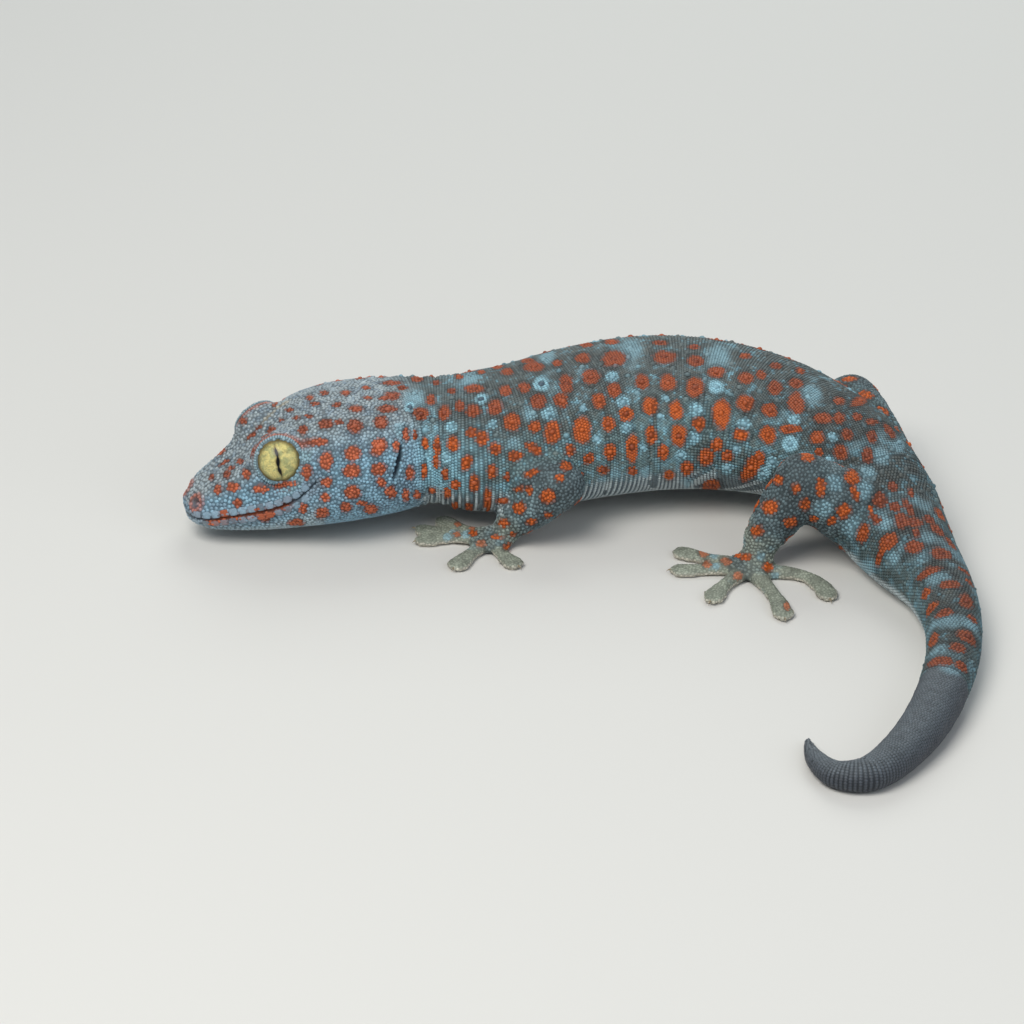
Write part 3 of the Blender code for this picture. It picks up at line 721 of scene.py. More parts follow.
def ear_relief(back, off, up):
    """A slit that leans back at its top, with a swollen front edge."""
    share, across = ear_share(back, off, up)
    pit = EAR_DEPTH * (1.0 - smooth_step(0.35, 1.05, share))
    rim = 0.45 * bell(share - 1.35, 0.35) * np.where(across < 0.0, 1.0, 0.45)
    return rim - pit


def head_ridges(back, off, up):
    """The ridge from the nostril to the eye, the hollow between the eyes and the jaw's swell."""
    off = np.abs(off)
    canthus, _ = line_distance(back, off, ((3.0, 4.2), (8.0, 5.2), (12.5, 6.6)))
    ridge = 0.45 * bell(canthus, 1.3) * smooth_step(8.0, 11.0, up)
    hollow = -0.9 * bell(off, 2.6) * bell(back - 13.5, 6.0) * smooth_step(10.0, 14.0, up)
    cheek, _ = line_distance(back, up, ((23.5, 9.0), (29.0, 12.0), (33.5, 17.0)))
    swell = 0.5 * bell(cheek, 3.4) * smooth_step(9.0, 12.0, off)
    return ridge + hollow + swell


def neck_folds(distance, angle):
    """Loose upright folds round the sides of the neck, close behind the jaw."""
    mask = smooth_step(HEAD_LENGTH - 1.0, HEAD_LENGTH + 1.5, distance)
    mask *= 1.0 - smooth_step(52.0, 58.0, distance)
    mask *= smooth_step(0.1, 0.6, np.abs(np.cos(angle)))
    ridge = np.abs(np.sin(math.pi * (distance + 0.8 * np.sin(2.0 * angle)) / NECK_FOLD))
    return 0.34 * mask * (ridge - 0.5)


def limb_folds(places):
    """Wrinkles across elbows, knees and wrists."""
    near_joint = bell(places.along - 1.0, 0.28) + 1.3 * bell(places.along - 1.9, 0.2)
    wave = np.sin(places.along * FULL_TURN * LIMB_FOLDS)
    return np.where(places.region > 0, 0.14 * near_joint * wave, 0.0)


def lid_radius(points, side):
    """The points, those round an eye moved to the profile of its lids."""
    local = points - eye_centre(side)
    away = np.linalg.norm(local, axis=1)
    turn = np.degrees(np.arccos(np.clip(local @ eye_axis(side) / np.maximum(away, 1e-6), -1, 1)))
    inside = (turn < LID_OPENING + 0.5) & (away < ORBIT_RADIUS + 1.5)
    on_lid = (turn >= LID_OPENING + 0.5) & (turn < LID_OPENING + LID_SPREAD)
    on_lid &= away < ORBIT_RADIUS + 1.2
    rim = EYE_RADIUS + 0.42 * bell(turn - LID_OPENING - 6.0, 5.0)
    lifted = np.maximum(rim, EYE_RADIUS + 0.25)
    share = 1.0 - smooth_step(LID_OPENING + 12.0, LID_OPENING + LID_SPREAD, turn)
    target = np.where(inside, EYE_RADIUS - 0.7, away)
    target = np.where(on_lid, away + (lifted - away) * share, target)
    return points + local / np.maximum(away, 1e-6)[:, None] * (target - away)[:, None]


def shape_skin(mesh):
    """Raises lips, lids, folds and ridges from the fused surface."""
    points, normals = vertices_of(mesh), normals_of(mesh)
    places = Places(points)
    back, off, up = head_coordinates(points)
    on_head = (places.region == 0) & (places.distance < HEAD_LENGTH + 3.0)
    rise = mouth_relief(back, up) + nostril_relief(back, off, up)
    rise += ear_relief(back, off, up) + head_ridges(back, off, up)
    rise = np.where(on_head, rise, 0.0)
    rise += np.where(places.region == 0, neck_folds(places.distance, places.angle), 0.0)
    rise += limb_folds(places)
    rise += 0.05 * noise(points, 1.6, 5)
    points = points + normals * rise[:, None]
    for side in SIDES:
        points = lid_radius(points, side)
    points[:, 2] = np.maximum(points[:, 2], SOLE_LIFT)
    set_vertices(mesh, points)


def restore_feet(mesh, shells):
    """Puts the toes and palms, which fusing thins, back on their own shells."""
    points = vertices_of(mesh)
    places = Places(points)
    on_foot = (places.region > 0) & (places.along > 2.0)
    for k in np.flatnonzero(on_foot):
        place = shells.find_nearest(points[k], 1.2)[0]
        if place is not None:
            points[k] = place
    set_vertices(mesh, points)
    relax(mesh, np.where(on_foot, 0.35, 0.0), 3)


def make_skin():
    skin = joined("skin", skin_shells())
    faces = [tuple(face.vertices) for face in skin.data.polygons]
    shells = BVHTree.FromPolygons(vertices_of(skin.data).tolist(), faces)
    remesh(skin)
    relax(skin.data, crease_weight(vertices_of(skin.data)), 14)
    places = Places(vertices_of(skin.data))
    fine = (places.region == 0) & (places.distance < NECK_END)
    fine |= (places.region > 0) & (places.along > 2.0)
    refine(skin.data, fine)
    relax(skin.data, np.full(len(skin.data.vertices), 0.3), 2)
    restore_feet(skin.data, shells)
    shape_skin(skin.data)
    skin.data.shade_smooth()
    return skin


class Surface:
    """Nearest points and faces of the skin."""

    def __init__(self, mesh):
        self.points = vertices_of(mesh)
        self.normals = normals_of(mesh)
        mesh.calc_loop_triangles()
        corners = np.empty(len(mesh.loop_triangles) * 3, np.int32)
        mesh.loop_triangles.foreach_get("vertices", corners)
        self.triangles = corners.reshape(-1, 3)
        self.tree = BVHTree.FromPolygons(self.points.tolist(), self.triangles.tolist())

    def nearest(self, points, reach):
        """The skin's point and smooth normal nearest each point, and which are in reach."""
        found = np.zeros((len(points), 3))
        faces = np.zeros(len(points), int)
        hit = np.zeros(len(points), bool)
        for k, point in enumerate(points):
            place, _, face, _ = self.tree.find_nearest(point, reach)
            if place is not None:
                found[k], faces[k], hit[k] = place, face, True
        return found, self.smooth_normal(found, faces), hit

    def smooth_normal(self, found, faces):
        corners = self.triangles[faces]
        away = np.linalg.norm(self.points[corners] - found[:, None], axis=2) + 1e-3
        return unit((self.normals[corners] / away[..., None]).sum(1))

    def scatter(self, chosen_vertex, count, draw):
        """Random points on the faces whose corners are chosen, even by area."""
        inside = chosen_vertex[self.triangles].all(1)
        triangles = self.triangles[inside]
        a, b, c = (self.points[triangles[:, k]] for k in range(3))
        area = np.linalg.norm(np.cross(b - a, c - a), axis=1) / 2
        picked = draw.choice(len(triangles), count, p=area / area.sum())
        u, v = draw.random((2, count))
        fold = u + v > 1.0
        u, v = np.where(fold, 1 - u, u)[:, None], np.where(fold, 1 - v, v)[:, None]
        found = a[picked] + (b - a)[picked] * u + (c - a)[picked] * v
        return found, self.smooth_normal(found, np.flatnonzero(inside)[picked])


def srgb(red, green, blue):
    """A screen colour from 0 to 255 as linear light."""
    value = np.array((red, green, blue)) / 255.0
    return np.where(value < 0.04045, value / 12.92, ((value + 0.055) / 1.055) ** 2.4)


FLANK = srgb(98, 122, 124)
FLANK_BLUE = srgb(112, 156, 170)
FLANK_GREY = srgb(90, 90, 82)
NECK_BLUE = srgb(130, 178, 194)
BACK = srgb(88, 98, 98)
HEAD_TOP = srgb(154, 166, 170)
CHEEK = srgb(134, 174, 194)
CHEEK_DARK = srgb(98, 118, 134)
LIMB = srgb(70, 82, 86)
LIMB_PALE = srgb(122, 145, 150)
FOOT = srgb(136, 142, 128)
PAD_AND_RIM_LIGHT = srgb(212, 206, 190)
BELLY = srgb(178, 190, 192)
BELLY_STRIPE = srgb(86, 100, 106)
PALE_BLUE = srgb(144, 190, 204)
PATCH_BLUE = srgb(130, 168, 180)
TAIL_BLUE = PATCH_BLUE * 0.74
ORANGE = srgb(184, 86, 26)
HEAD_ORANGE = srgb(180, 90, 54)
BROWN = srgb(136, 68, 44)
DARK_RED = srgb(96, 42, 28)
DOT_CORE = srgb(62, 82, 96)
SLATE = srgb(62, 68, 76)
SLATE_TOP = srgb(82, 90, 96)
BROW_HIGHLIGHT = srgb(184, 174, 148)
LIP = srgb(122, 138, 152)
LID_BLUE = srgb(132, 164, 174)
HOLE_SHADE = srgb(70, 88, 104)


def mix(first, second, share):
    share = np.asarray(share)[:, None]
    return first * (1.0 - share) + second * share


class Marks:
    """Rounded marks on the skin, each with two axes, a reach and its colours."""

    def __init__(self, softness, edge_shade, strength):
        self.softness, self.edge_shade, self.strength = softness, edge_shade, strength
        self.shapes, self.colours = [], []

    def add(self, shape, colour, core=DOT_CORE, core_strength=0.0):
        """A shape is a place, two axes each divided by its squared length, and a reach."""
        self.shapes.append(shape)
        self.colours.append((*colour, *core, core_strength))

    def paint(self, colours, points, tree):
        """Lays the marks over the colours, each point taking the mark that it is deepest in."""
        ragged = 0.16 * noise(points, 0.8, 3) + 0.12 * noise(points, 2.2, 4)
        depth = np.full(len(points), 9.0)
        owner = np.full(len(points), -1)
        for k, (place, across, along, reach) in enumerate(self.shapes):
            near = np.array([found[1] for found in tree.find_range(place, reach)], int)
            local = points[near] - place
            share = np.hypot(local @ across, local @ along) + ragged[near]
            deeper = share < depth[near]
            depth[near[deeper]] = share[deeper]
            owner[near[deeper]] = k
        on = np.flatnonzero(owner >= 0)
        depth, tones = depth[on], np.array(self.colours)[owner[on]]
        ground = colours[on] * (1.0 - self.edge_shade * bell(depth - 1.25, 0.2))[:, None]
        core = tones[:, 6] * (1.0 - smooth_step(0.12, 0.55, depth))
        fill = tones[:, :3] * (1.0 - core)[:, None] + tones[:, 3:6] * core[:, None]
        fill *= (1.0 + 0.12 * noise(points[on], 1.1, 8))[:, None]
        fill *= (1.0 - 0.8 * self.edge_shade * smooth_step(0.6, 1.0, depth))[:, None]
        inside = 1.0 - smooth_step(1.0 - self.softness, 1.0 + self.softness, depth)
        colours[on] = mix(ground, fill, inside * self.strength)
        return colours


def point_tree(points):
    tree = KDTree(len(points))
    for k, point in enumerate(points):
        tree.insert(point, k)
    tree.balance()
    return tree


# How far apart the belly's dark stripes and the pale bands of back and tail stand
BELLY_STRIPE_RUN, BACK_BAND_RUN, TAIL_BAND_RUN = 1.04, 17.5, 12.0
BACK_BAND_START = 47.0


def body_colour(places):
    """The ground colour of the body from the head to the regrown end of the tail."""
    points, s = places.points, places.distance
    up = np.sin(places.angle)
    wide, fine = noise(points, 6.0, 1), noise(points, 1.9, 2)
    speck = noise(points, 0.62, 21)
    rows = noise(np.column_stack([s * 2.6, 3.0 * places.angle, s * 0.0]), 1.0, 22)
    colour = mix(FLANK, BACK, smooth_step(0.4, 0.95, up + 0.2 * wide))
    blue = smooth_step(-0.15, 0.7, speck + 0.5 * fine - 0.3 * up)
    colour = mix(colour, FLANK_BLUE, 0.8 * blue)
    colour = mix(colour, FLANK_GREY, 0.5 * smooth_step(0.1, 0.8, 0.3 * wide - speck))
    neck = smooth_step(38.0, 44.0, s) * smooth_step(64.0, 48.0, s) * bell(up - 0.05, 0.6)
    colour = mix(colour, NECK_BLUE, 0.85 * neck * smooth_step(-0.9, 0.1, fine))
    # Painted shade: from the hips on, the tail's colour is darkened
    on_tail = smooth_step(TAIL_START - 48.0, TAIL_START - 10.0, s)
    colour = colour * (1.0 + 0.14 * fine + 0.1 * wide + 0.22 * rows - 0.4 * on_tail)[:, None]
    band = np.sin(FULL_TURN * (s - BACK_BAND_START) / BACK_BAND_RUN + 0.9 * wide)
    band = smooth_step(0.55, 0.95, band)
    band *= smooth_step(0.5, 0.85, up) * smooth_step(50.0, 56.0, s)
    colour = mix(colour, PALE_BLUE, 0.25 * band * smooth_step(-0.3, 0.5, fine))
    tail_band = np.sin(FULL_TURN * (s - TAIL_START) / TAIL_BAND_RUN + 0.5 * wide)
    tail_band = smooth_step(0.3, 0.8, tail_band)
    tail_band *= smooth_step(TAIL_START - 6.0, TAIL_START + 4.0, s) * smooth_step(-0.6, 0.4, fine)
    colour = mix(colour, TAIL_BLUE, 0.35 * tail_band)
    stripes = 0.5 + 0.5 * np.cos(FULL_TURN * (s - HEAD_LENGTH) / BELLY_STRIPE_RUN)
    dark = stripes * smooth_step(-0.85, -0.6, up) * smooth_step(TAIL_START, TAIL_START - 12.0, s)
    under = mix(np.broadcast_to(BELLY, colour.shape), BELLY_STRIPE, dark)
    colour = mix(colour, under, smooth_step(0.1, 0.35, 0.06 * fine - up))
    return colour


def head_colour(places, colour):
    """Blue cheeks, a greyer crown, pale lips and lids, orange edges, fading into the neck."""
    points = places.points
    back, off, up = head_coordinates(points)
    fine, speck = noise(points, 1.7, 6), noise(points, 0.6, 23)
    head = mix(CHEEK, HEAD_TOP, smooth_step(0.4, 0.95, np.sin(places.angle)))
    head = mix(head, CHEEK_DARK, 0.65 * smooth_step(-0.3, 0.7, speck + 0.45 * fine))
    head = head * (1.0 + 0.12 * fine)[:, None]
    gap = head_gap(points)
    head = mix(head, LIP, 0.85 * bell(gap, 1.6))
    lip_line = smooth_step(-0.7, 0.0, noise(points, 2.6, 9)) * smooth_step(19.0, 16.5, back)
    lip_line *= smooth_step(2.0, 4.0, back) * bell(gap + 0.1, 0.6)
    head = mix(head, HEAD_ORANGE, 0.95 * lip_line)
    throat = smooth_step(-1.6, -5.0, np.minimum(gap, 0.75 * (up - 9.0)))
    head = mix(head, BELLY, 0.6 * throat * smooth_step(32.0, 20.0, back))
    nostril = nostril_distance(back, off, up)
    head = mix(head, HEAD_ORANGE, 0.8 * bell(nostril - NOSTRIL_RIM, 0.55))
    # Painted shade fills the nostrils and the ear slits
    hole = 1.0 - smooth_step(0.55, 1.0, nostril)
    hole = np.maximum(hole, 1.0 - smooth_step(0.55, 1.0, ear_share(back, off, up)[0]))
    head = mix(head, HOLE_SHADE, hole)
    for side in SIDES:
        local = points - eye_centre(side)
        away = np.linalg.norm(local, axis=1)
        turn = np.degrees(np.arccos(np.clip(local @ eye_axis(side) / away, -1.0, 1.0)))
        near_eye = (away < ORBIT_RADIUS + 1.6).astype(float)
        head = mix(head, LID_BLUE, 0.8 * near_eye * bell(turn - 58.0, 6.5))
        above = smooth_step(0.0, 2.5, local[:, 2])
        head = mix(head, HEAD_ORANGE, 0.85 * near_eye * above * bell(turn - 69.0, 4.5))
    fade = smooth_step(HEAD_LENGTH - 3.0, HEAD_LENGTH + 6.0, places.distance)
    return mix(head, colour, fade)


def tail_end_colour(places, colour):
    s = places.distance
    ragged = 0.8 * noise(places.points, 2.0, 12)
    slate = mix(SLATE, SLATE_TOP, smooth_step(0.1, 1.0, np.sin(places.angle)))
    slate = slate * (1.0 + 0.16 * noise(places.points, 0.8, 13))[:, None]
    return mix(colour, slate, smooth_step(REGROWN_START - 0.5, REGROWN_START + 0.5, s + ragged))


def leg_colour(places):
    """Dark grey knees and elbows, paler insides, and greyish beige feet with pale edges."""
    points, t = places.points, places.along
    fine, speck = noise(points, 2.2, 15), noise(points, 0.62, 16)
    fore = places.region < 3
    colour = LIMB * (1.0 + 0.14 * fine + 0.15 * fore)[:, None]
    pale = 0.2 + (0.6 + 0.1 * fore) * smooth_step(-0.5, 0.7, 0.7 * speck + 0.7 * fine)
    pale += 0.15 * smooth_step(0.2, 0.8, noise(points, 4.5, 17))
    colour = mix(colour, LIMB_PALE, pale * (1.0 - 0.55 * bell(t - 1.0, 0.35)))
    # Painted shade in the fold between the hind thighs and shins
    colour = colour * (1.0 - 0.25 * bell(t - 1.45, 0.35) * (places.region > 2))[:, None]
    foot = FOOT * (1.0 + 0.2 * noise(points, 1.2, 18) + 0.16 * speck)[:, None]
    blue = smooth_step(0.1, 0.7, noise(points, 2.4, 19)) * (t < 2.45)
    foot = mix(foot, PALE_BLUE * 0.8, 0.5 * blue)
    colour = mix(colour, foot, smooth_step(1.75, 2.2, t + 0.12 * fine))
    # Pale pad colour on the toes' low edges, partly a painted rim light
    edge = smooth_step(1.25, 0.7, points[:, 2]) * smooth_step(2.1, 2.3, t)
    return mix(colour, PAD_AND_RIM_LIGHT, 0.8 * edge)


def ground_colour(places):
    body = body_colour(places)
    body = head_colour(places, body)
    body = tail_end_colour(places, body)
    return mix(body, leg_colour(places), (places.region > 0) * smooth_step(0.0, 3.0, places.lead))


def painted(places, marks):
    """The markings of the skin and of the scales at these places."""
    colours, tree = ground_colour(places), point_tree(places.points)
    for layer in marks:
        colours = layer.paint(colours, places.points, tree)
    return np.clip(colours, 0.0, 1.0)


def spaced(points, gaps):
    """Indices of the points that keep their gap from the ones before them."""
    tree = point_tree(points)
    gone = bytearray(len(points))
    kept = []
    for k, point in enumerate(points):
        if gone[k]:
            continue
        kept.append(k)
        for _, other, _ in tree.find_range(point, gaps[k]):
            gone[other] = 1
    return np.array(kept)


def free_ones(taken, points, gaps):
    """Indices of the points free of the taken places and of each other; the gaps are for both."""
    kept = spaced(np.concatenate([np.reshape(taken, (-1, 3)), points]), gaps)
    return kept[kept >= len(taken)] - len(taken)


# Marks read from the photograph, in its pixels: centre, width, height and, where the
# mark leans, how many degrees its top leans to the left
TRUNK_MARKS = (
    (583, 358, 15, 11), (614, 359, 24, 18), (664, 357, 24, 14), (696, 361, 17, 13),
    (716, 372, 18, 12), (746, 378, 16, 13), (761, 375, 10, 10), (775, 388, 15, 15),
    (796, 383, 15, 11), (566, 384, 14, 20), (591, 377, 18, 16), (614, 390, 16, 15),
    (599, 400, 15, 17), (642, 382, 14, 17), (668, 383, 17, 17), (695, 387, 18, 21),
    (745, 403, 18, 18), (770, 410, 15, 15), (796, 403, 17, 21), (563, 401, 10, 15),
    (650, 406, 16, 18), (676, 410, 15, 19), (721, 413, 18, 30), (582, 430, 18, 27),
    (608, 424, 15, 17), (626, 414, 15, 14), (651, 435, 11, 20), (679, 436, 16, 21),
    (699, 424, 13, 14), (741, 435, 17, 13), (768, 435, 16, 18), (790, 429, 23, 9),
    (570, 450, 10, 13), (589, 459, 11, 11), (610, 452, 12, 17), (632, 447, 12, 28),
    (663, 452, 12, 16), (687, 468, 13, 14), (706, 458, 15, 18), (717, 445, 12, 13),
    (727, 456, 12, 12), (751, 468, 15, 28, -25), (759, 458, 12, 15), (603, 470, 12, 10),
    (632, 471, 10, 9), (669, 475, 12, 10), (711, 486, 18, 13), (746, 498, 14, 12),
    (817, 438, 14, 14), (841, 452, 15, 16), (847, 434, 12, 12), (852, 477, 17, 15),
    (860, 401, 22, 9, 25), (839, 401, 12, 8), (823, 418, 20, 11), (839, 418, 12, 12),
    (867, 455, 11, 18), (872, 437, 12, 14), (890, 432, 8, 18, 35), (857, 417, 10, 8),
    (872, 422, 14, 6), (819, 452, 7, 9), (855, 493, 8, 16, 25), (863, 532, 12, 20, -15),
    (880, 500, 15, 18, -15), (893, 486, 9, 12), (911, 493, 6, 12), (871, 510, 5, 10, 30),
    (901, 520, 14, 18), (908, 507, 8, 20, 20),
    (916, 533, 8, 10, 20), (850, 559, 15, 12, 20),
)
NECK_MARKS = (
    (392, 383, 19, 5), (392, 396, 16, 10), (387, 409, 19, 9), (382, 423, 9, 12),
    (382, 445, 9, 13), (431, 400, 10, 12), (421, 414, 17, 13), (444, 413, 13, 16, -20),
    (460, 406, 10, 12), (473, 411, 15, 13), (452, 391, 10, 7), (474, 389, 22, 9),
    (495, 407, 15, 17), (505, 391, 12, 12), (507, 372, 14, 8), (497, 367, 13, 7),
    (534, 367, 22, 11), (557, 363, 10, 8), (524, 388, 12, 12), (538, 401, 17, 16),
    (560, 400, 15, 15), (512, 422, 16, 19), (472, 433, 12, 12), (482, 438, 14, 16),
    (406, 435, 7, 16), (415, 435, 5, 11), (425, 443, 7, 13), (396, 446, 7, 12),
    (437, 446, 7, 19), (436, 461, 7, 15), (453, 444, 13, 15), (466, 463, 11, 17, -20),
    (495, 449, 14, 13), (516, 456, 15, 11), (534, 449, 19, 9, -38), (535, 427, 12, 12),
    (552, 432, 16, 23), (492, 471, 10, 15), (474, 483, 10, 18), (488, 499, 7, 28),
    (445, 474, 8, 12), (455, 485, 10, 10), (447, 493, 8, 11), (410, 473, 10, 14),
    (424, 471, 7, 16), (390, 492, 11, 12), (406, 495, 7, 14), (417, 495, 7, 10),
    (432, 490, 7, 7), (455, 507, 7, 12), (469, 507, 7, 9), (417, 379, 12, 7),
    (436, 383, 9, 6), (459, 371, 8, 6), (481, 363, 8, 5), (528, 361, 14, 6),
    (586, 345, 13, 6), (612, 342, 14, 6), (660, 343, 14, 6), (694, 347, 12, 6),
    (745, 356, 13, 7), (776, 366, 12, 7), (800, 371, 9, 7),
)
LEG_MARKS = (
    (821, 487, 10, 19), (796, 489, 9, 11), (779, 480, 9, 10), (805, 504, 10, 14),
    (770, 507, 16, 16), (790, 522, 15, 11), (757, 531, 12, 12), (844, 511, 15, 16, -25),
    (832, 521, 13, 8, 35), (824, 538, 16, 11), (801, 537, 12, 11), (825, 555, 11, 8),
    (786, 552, 11, 9), (768, 567, 12, 10), (746, 557, 11, 7), (726, 561, 11, 8),
    (738, 576, 10, 8), (783, 586, 8, 11), (703, 553, 10, 8), (707, 564, 8, 8),
    (738, 546, 8, 6), (787, 606, 6, 8), (814, 519, 9, 6), (808, 457, 15, 10),
    (566, 466, 12, 10), (531, 473, 15, 7, 15), (507, 477, 6, 10), (519, 489, 11, 7),
    (529, 490, 7, 9), (547, 496, 16, 15), (519, 508, 14, 11), (503, 501, 13, 6),
    (504, 523, 12, 8), (531, 522, 11, 7), (481, 544, 10, 7), (508, 547, 10, 7),
    (457, 534, 7, 6), (473, 533, 8, 6), (458, 521, 7, 5), (513, 534, 7, 4),
    (497, 537, 13, 4), (472, 525, 6, 4), (560, 478, 10, 8), (548, 515, 9, 6),
)
HEAD_MARKS = (
    (262, 489, 22, 8, 8), (284, 485, 26, 6, 8), (222, 520, 8, 7), (234, 517, 8, 6),
    (259, 512, 10, 8), (224, 463, 4, 12, -60), (240, 461, 8, 6), (251, 436, 4, 14, -50),
    (258, 428, 4, 10, -50), (231, 468, 7, 5),
    (243, 421, 8, 8), (246, 474, 9, 11), (227, 474, 9, 10), (212, 477, 7, 7),
    (233, 487, 13, 10), (218, 490, 8, 12), (238, 503, 9, 9), (222, 513, 6, 4),
    (272, 430, 9, 7), (303, 430, 10, 10), (326, 424, 16, 10), (338, 422, 10, 5),
    (355, 426, 16, 15), (381, 422, 14, 14), (318, 442, 21, 9), (326, 461, 14, 20, -15),
    (307, 472, 12, 15), (352, 453, 17, 15), (378, 447, 16, 18, -20), (352, 471, 17, 14),
    (326, 482, 14, 11), (353, 492, 17, 14), (325, 497, 11, 10), (303, 508, 10, 10),
    (322, 513, 13, 11), (298, 522, 12, 7), (346, 507, 12, 10), (371, 509, 14, 10),
    (362, 503, 10, 5), (379, 469, 15, 13), (381, 482, 10, 10), (391, 492, 10, 13),
    (388, 409, 19, 9), (356, 409, 15, 8), (337, 405, 9, 6), (346, 393, 10, 6),
    (324, 393, 9, 6), (310, 398, 9, 6), (368, 398, 10, 4), (366, 388, 9, 4),
    (315, 404, 10, 4), (290, 410, 9, 4), (282, 420, 7, 4), (297, 418, 9, 4),
    (309, 416, 9, 4), (265, 518, 12, 8), (211, 523, 9, 5), (275, 404, 4, 10, -30),
    (385, 398, 12, 5), (402, 388, 10, 5), (220, 521, 13, 5, 8), (236, 518, 12, 5, 8),
    (252, 514, 10, 5), (270, 514, 12, 6), (283, 507, 11, 5, 10), (292, 523, 10, 5),
)
# A painted highlight along the top edge of each brow: centre, width, height and lean, in the
# photograph's pixels
BROW_HIGHLIGHT_MARKS = ((268, 417, 3, 20, -45), (282, 405, 3, 18, -58))
# x, y and radius of the pale dots, of those with a dark centre, and of the pale patches
DOTS = (
    (612, 377, 6), (623, 402, 7), (626, 428, 6), (597, 439, 5), (666, 398, 4), (660, 416, 4),
    (696, 410, 7), (694, 438, 6), (716, 387, 8), (744, 424, 7), (736, 449, 5), (794, 420, 6),
    (790, 444, 8), (772, 462, 6), (763, 474, 7), (727, 468, 6), (681, 455, 6), (643, 448, 4),
    (583, 408, 4), (451, 427, 6), (493, 424, 5), (549, 414, 8), (446, 457, 6), (829, 461, 5),
    (425, 430, 4), (833, 437, 5),
)
DARK_DOTS = ((541, 384, 8), (481, 399, 6), (410, 407, 5))
PATCHES = (
    (631, 349, 11), (718, 357, 12), (811, 395, 10), (414, 400, 10), (687, 482, 6),
    (646, 472, 5), (615, 472, 5), (730, 494, 5), (514, 443, 6), (478, 463, 5), (547, 358, 8),
    (468, 380, 8), (794, 418, 7), (867, 472, 8), (863, 489, 10), (835, 483, 8), (823, 509, 9),
    (881, 455, 9), (852, 527, 9), (883, 522, 8), (893, 558, 6), (867, 567, 8), (832, 550, 8),
    (898, 446, 7), (530, 413, 7), (583, 372, 6), (402, 430, 7), (430, 412, 6),
    (761, 556, 4), (714, 552, 4), (794, 555, 4), (775, 576, 4), (716, 566, 4), (466, 534, 4),
    (447, 537, 4),
)
# The tail hangs in the photograph: its middle line there from root to regrown end, with its
# half width, and its marks and pale patches
TAIL_LINE = (
    (893, 526, 47), (914, 575, 41), (927, 609, 37), (952, 679, 27.5), (954.5, 741, 26),
    (950, 800, 25.5),
)
TAIL_MARKS = (
    (875, 549, 7, 15), (893, 545, 12, 15), (884, 576, 14, 17), (911, 569, 17, 15),
    (926, 566, 10, 13), (908, 597, 16, 18),
    (935, 581, 12, 18), (947, 597, 8, 20), (934, 615, 20, 21), (920, 636, 22, 12),
    (959, 635, 13, 9), (921, 660, 8, 13), (945, 662, 21, 14), (965, 650, 8, 10),
    (930, 686, 10, 13), (964, 686, 13, 25), (943, 706, 17, 13), (970, 709, 9, 11),
    (934, 744, 8, 25), (968, 741, 17, 20), (959, 765, 15, 17), (943, 790, 24, 17),
    (966, 789, 11, 13), (859, 577, 12, 8), (937, 551, 9, 18), (953, 562, 7, 16),
)
TAIL_PATCHES = (
    (893, 561, 7), (922, 591, 9), (949, 611, 10), (933, 650, 10), (958, 616, 9), (935, 715, 9),
    (950, 722, 11), (965, 720, 9), (940, 769, 8), (955, 799, 10), (898, 590, 6), (915, 615, 7),
)


def turned_axes(first, second, degrees):
    c, s = math.cos(math.radians(degrees)), math.sin(math.radians(degrees))
    return first * c + second * s, second * c - first * s


def mark_shape(place, across, along, half_across, half_along, reach):
    return place, across / half_across, along / half_along, reach


def seen_shape(surface, x, y, wide, high, lean=0.0):
    """The shape of a mark on the skin behind its place in the photograph, if there is skin."""
    for lower in (0, 3, 6, 9):
        right, up = x - FRAME_PIXELS / 2, FRAME_PIXELS / 2 - y - lower
        ray = CAMERA_AHEAD * FOCAL_PIXELS + CAMERA_RIGHT * right + CAMERA_UP * up
        place, normal, _, _ = surface.tree.ray_cast(CAMERA_PLACE, unit(ray))
        if place is None:
            continue
        place = np.array(place)
        scale = (place - CAMERA_PLACE) @ CAMERA_AHEAD / FOCAL_PIXELS
        slope = max(abs(float(np.array(normal) @ CAMERA_AHEAD)), 0.4)
        reach = 0.8 * max(wide, high) * scale / slope + 0.3
        across, along = turned_axes(CAMERA_RIGHT, CAMERA_UP, lean)
        return mark_shape(place, across, along, wide / 2 * scale, high / 2 * scale, reach)
    return None


def seen_shapes(surface, rows):
    shapes = [seen_shape(surface, *row) for row in rows]
    return [shape for shape in shapes if shape is not None]


def rounds(rows):
    """The width and height of round marks given by their radius."""
    return [(x, y, 2 * radius, 2 * radius) for x, y, radius in rows]


def tail_shape(x, y, wide, high):
    """The shape of a mark of the tail, moved from the hanging tail to the one on the floor."""
    line = np.array(TAIL_LINE, float)
    run = run_lengths(line[:, :2])
    travelled, middle, half = (np.interp(y, line[:, 1], each) for each in (run, *line.T[::2]))
    scale = (REGROWN_START - TAIL_START) / run[-1]
    distance = np.array([TAIL_START + travelled * scale])
    off = np.clip((middle - x) / half, -0.95, 0.95)
    angle = np.arccos(signed_power(np.array([off]), BODY_SQUARENESS / 2))
    place = body_points(distance, angle)[0]
    along = np.array((*BODY.heading(distance)[0], 0.0))
    across = unit(body_points(distance, angle + 0.05)[0] - body_points(distance, angle - 0.05)[0])
    slope = max(math.sqrt(1.0 - off**2), 0.45)
    half_across = wide / 2 * scale / slope
    reach = 1.6 * max(half_across, high / 2 * scale) + 0.3
    return mark_shape(place, across, along, half_across, high / 2 * scale, reach)


def facing_away(surface):
    """Which points of the skin face away from the photograph's camera."""
    return surface.normals @ CAMERA_AHEAD > -0.1


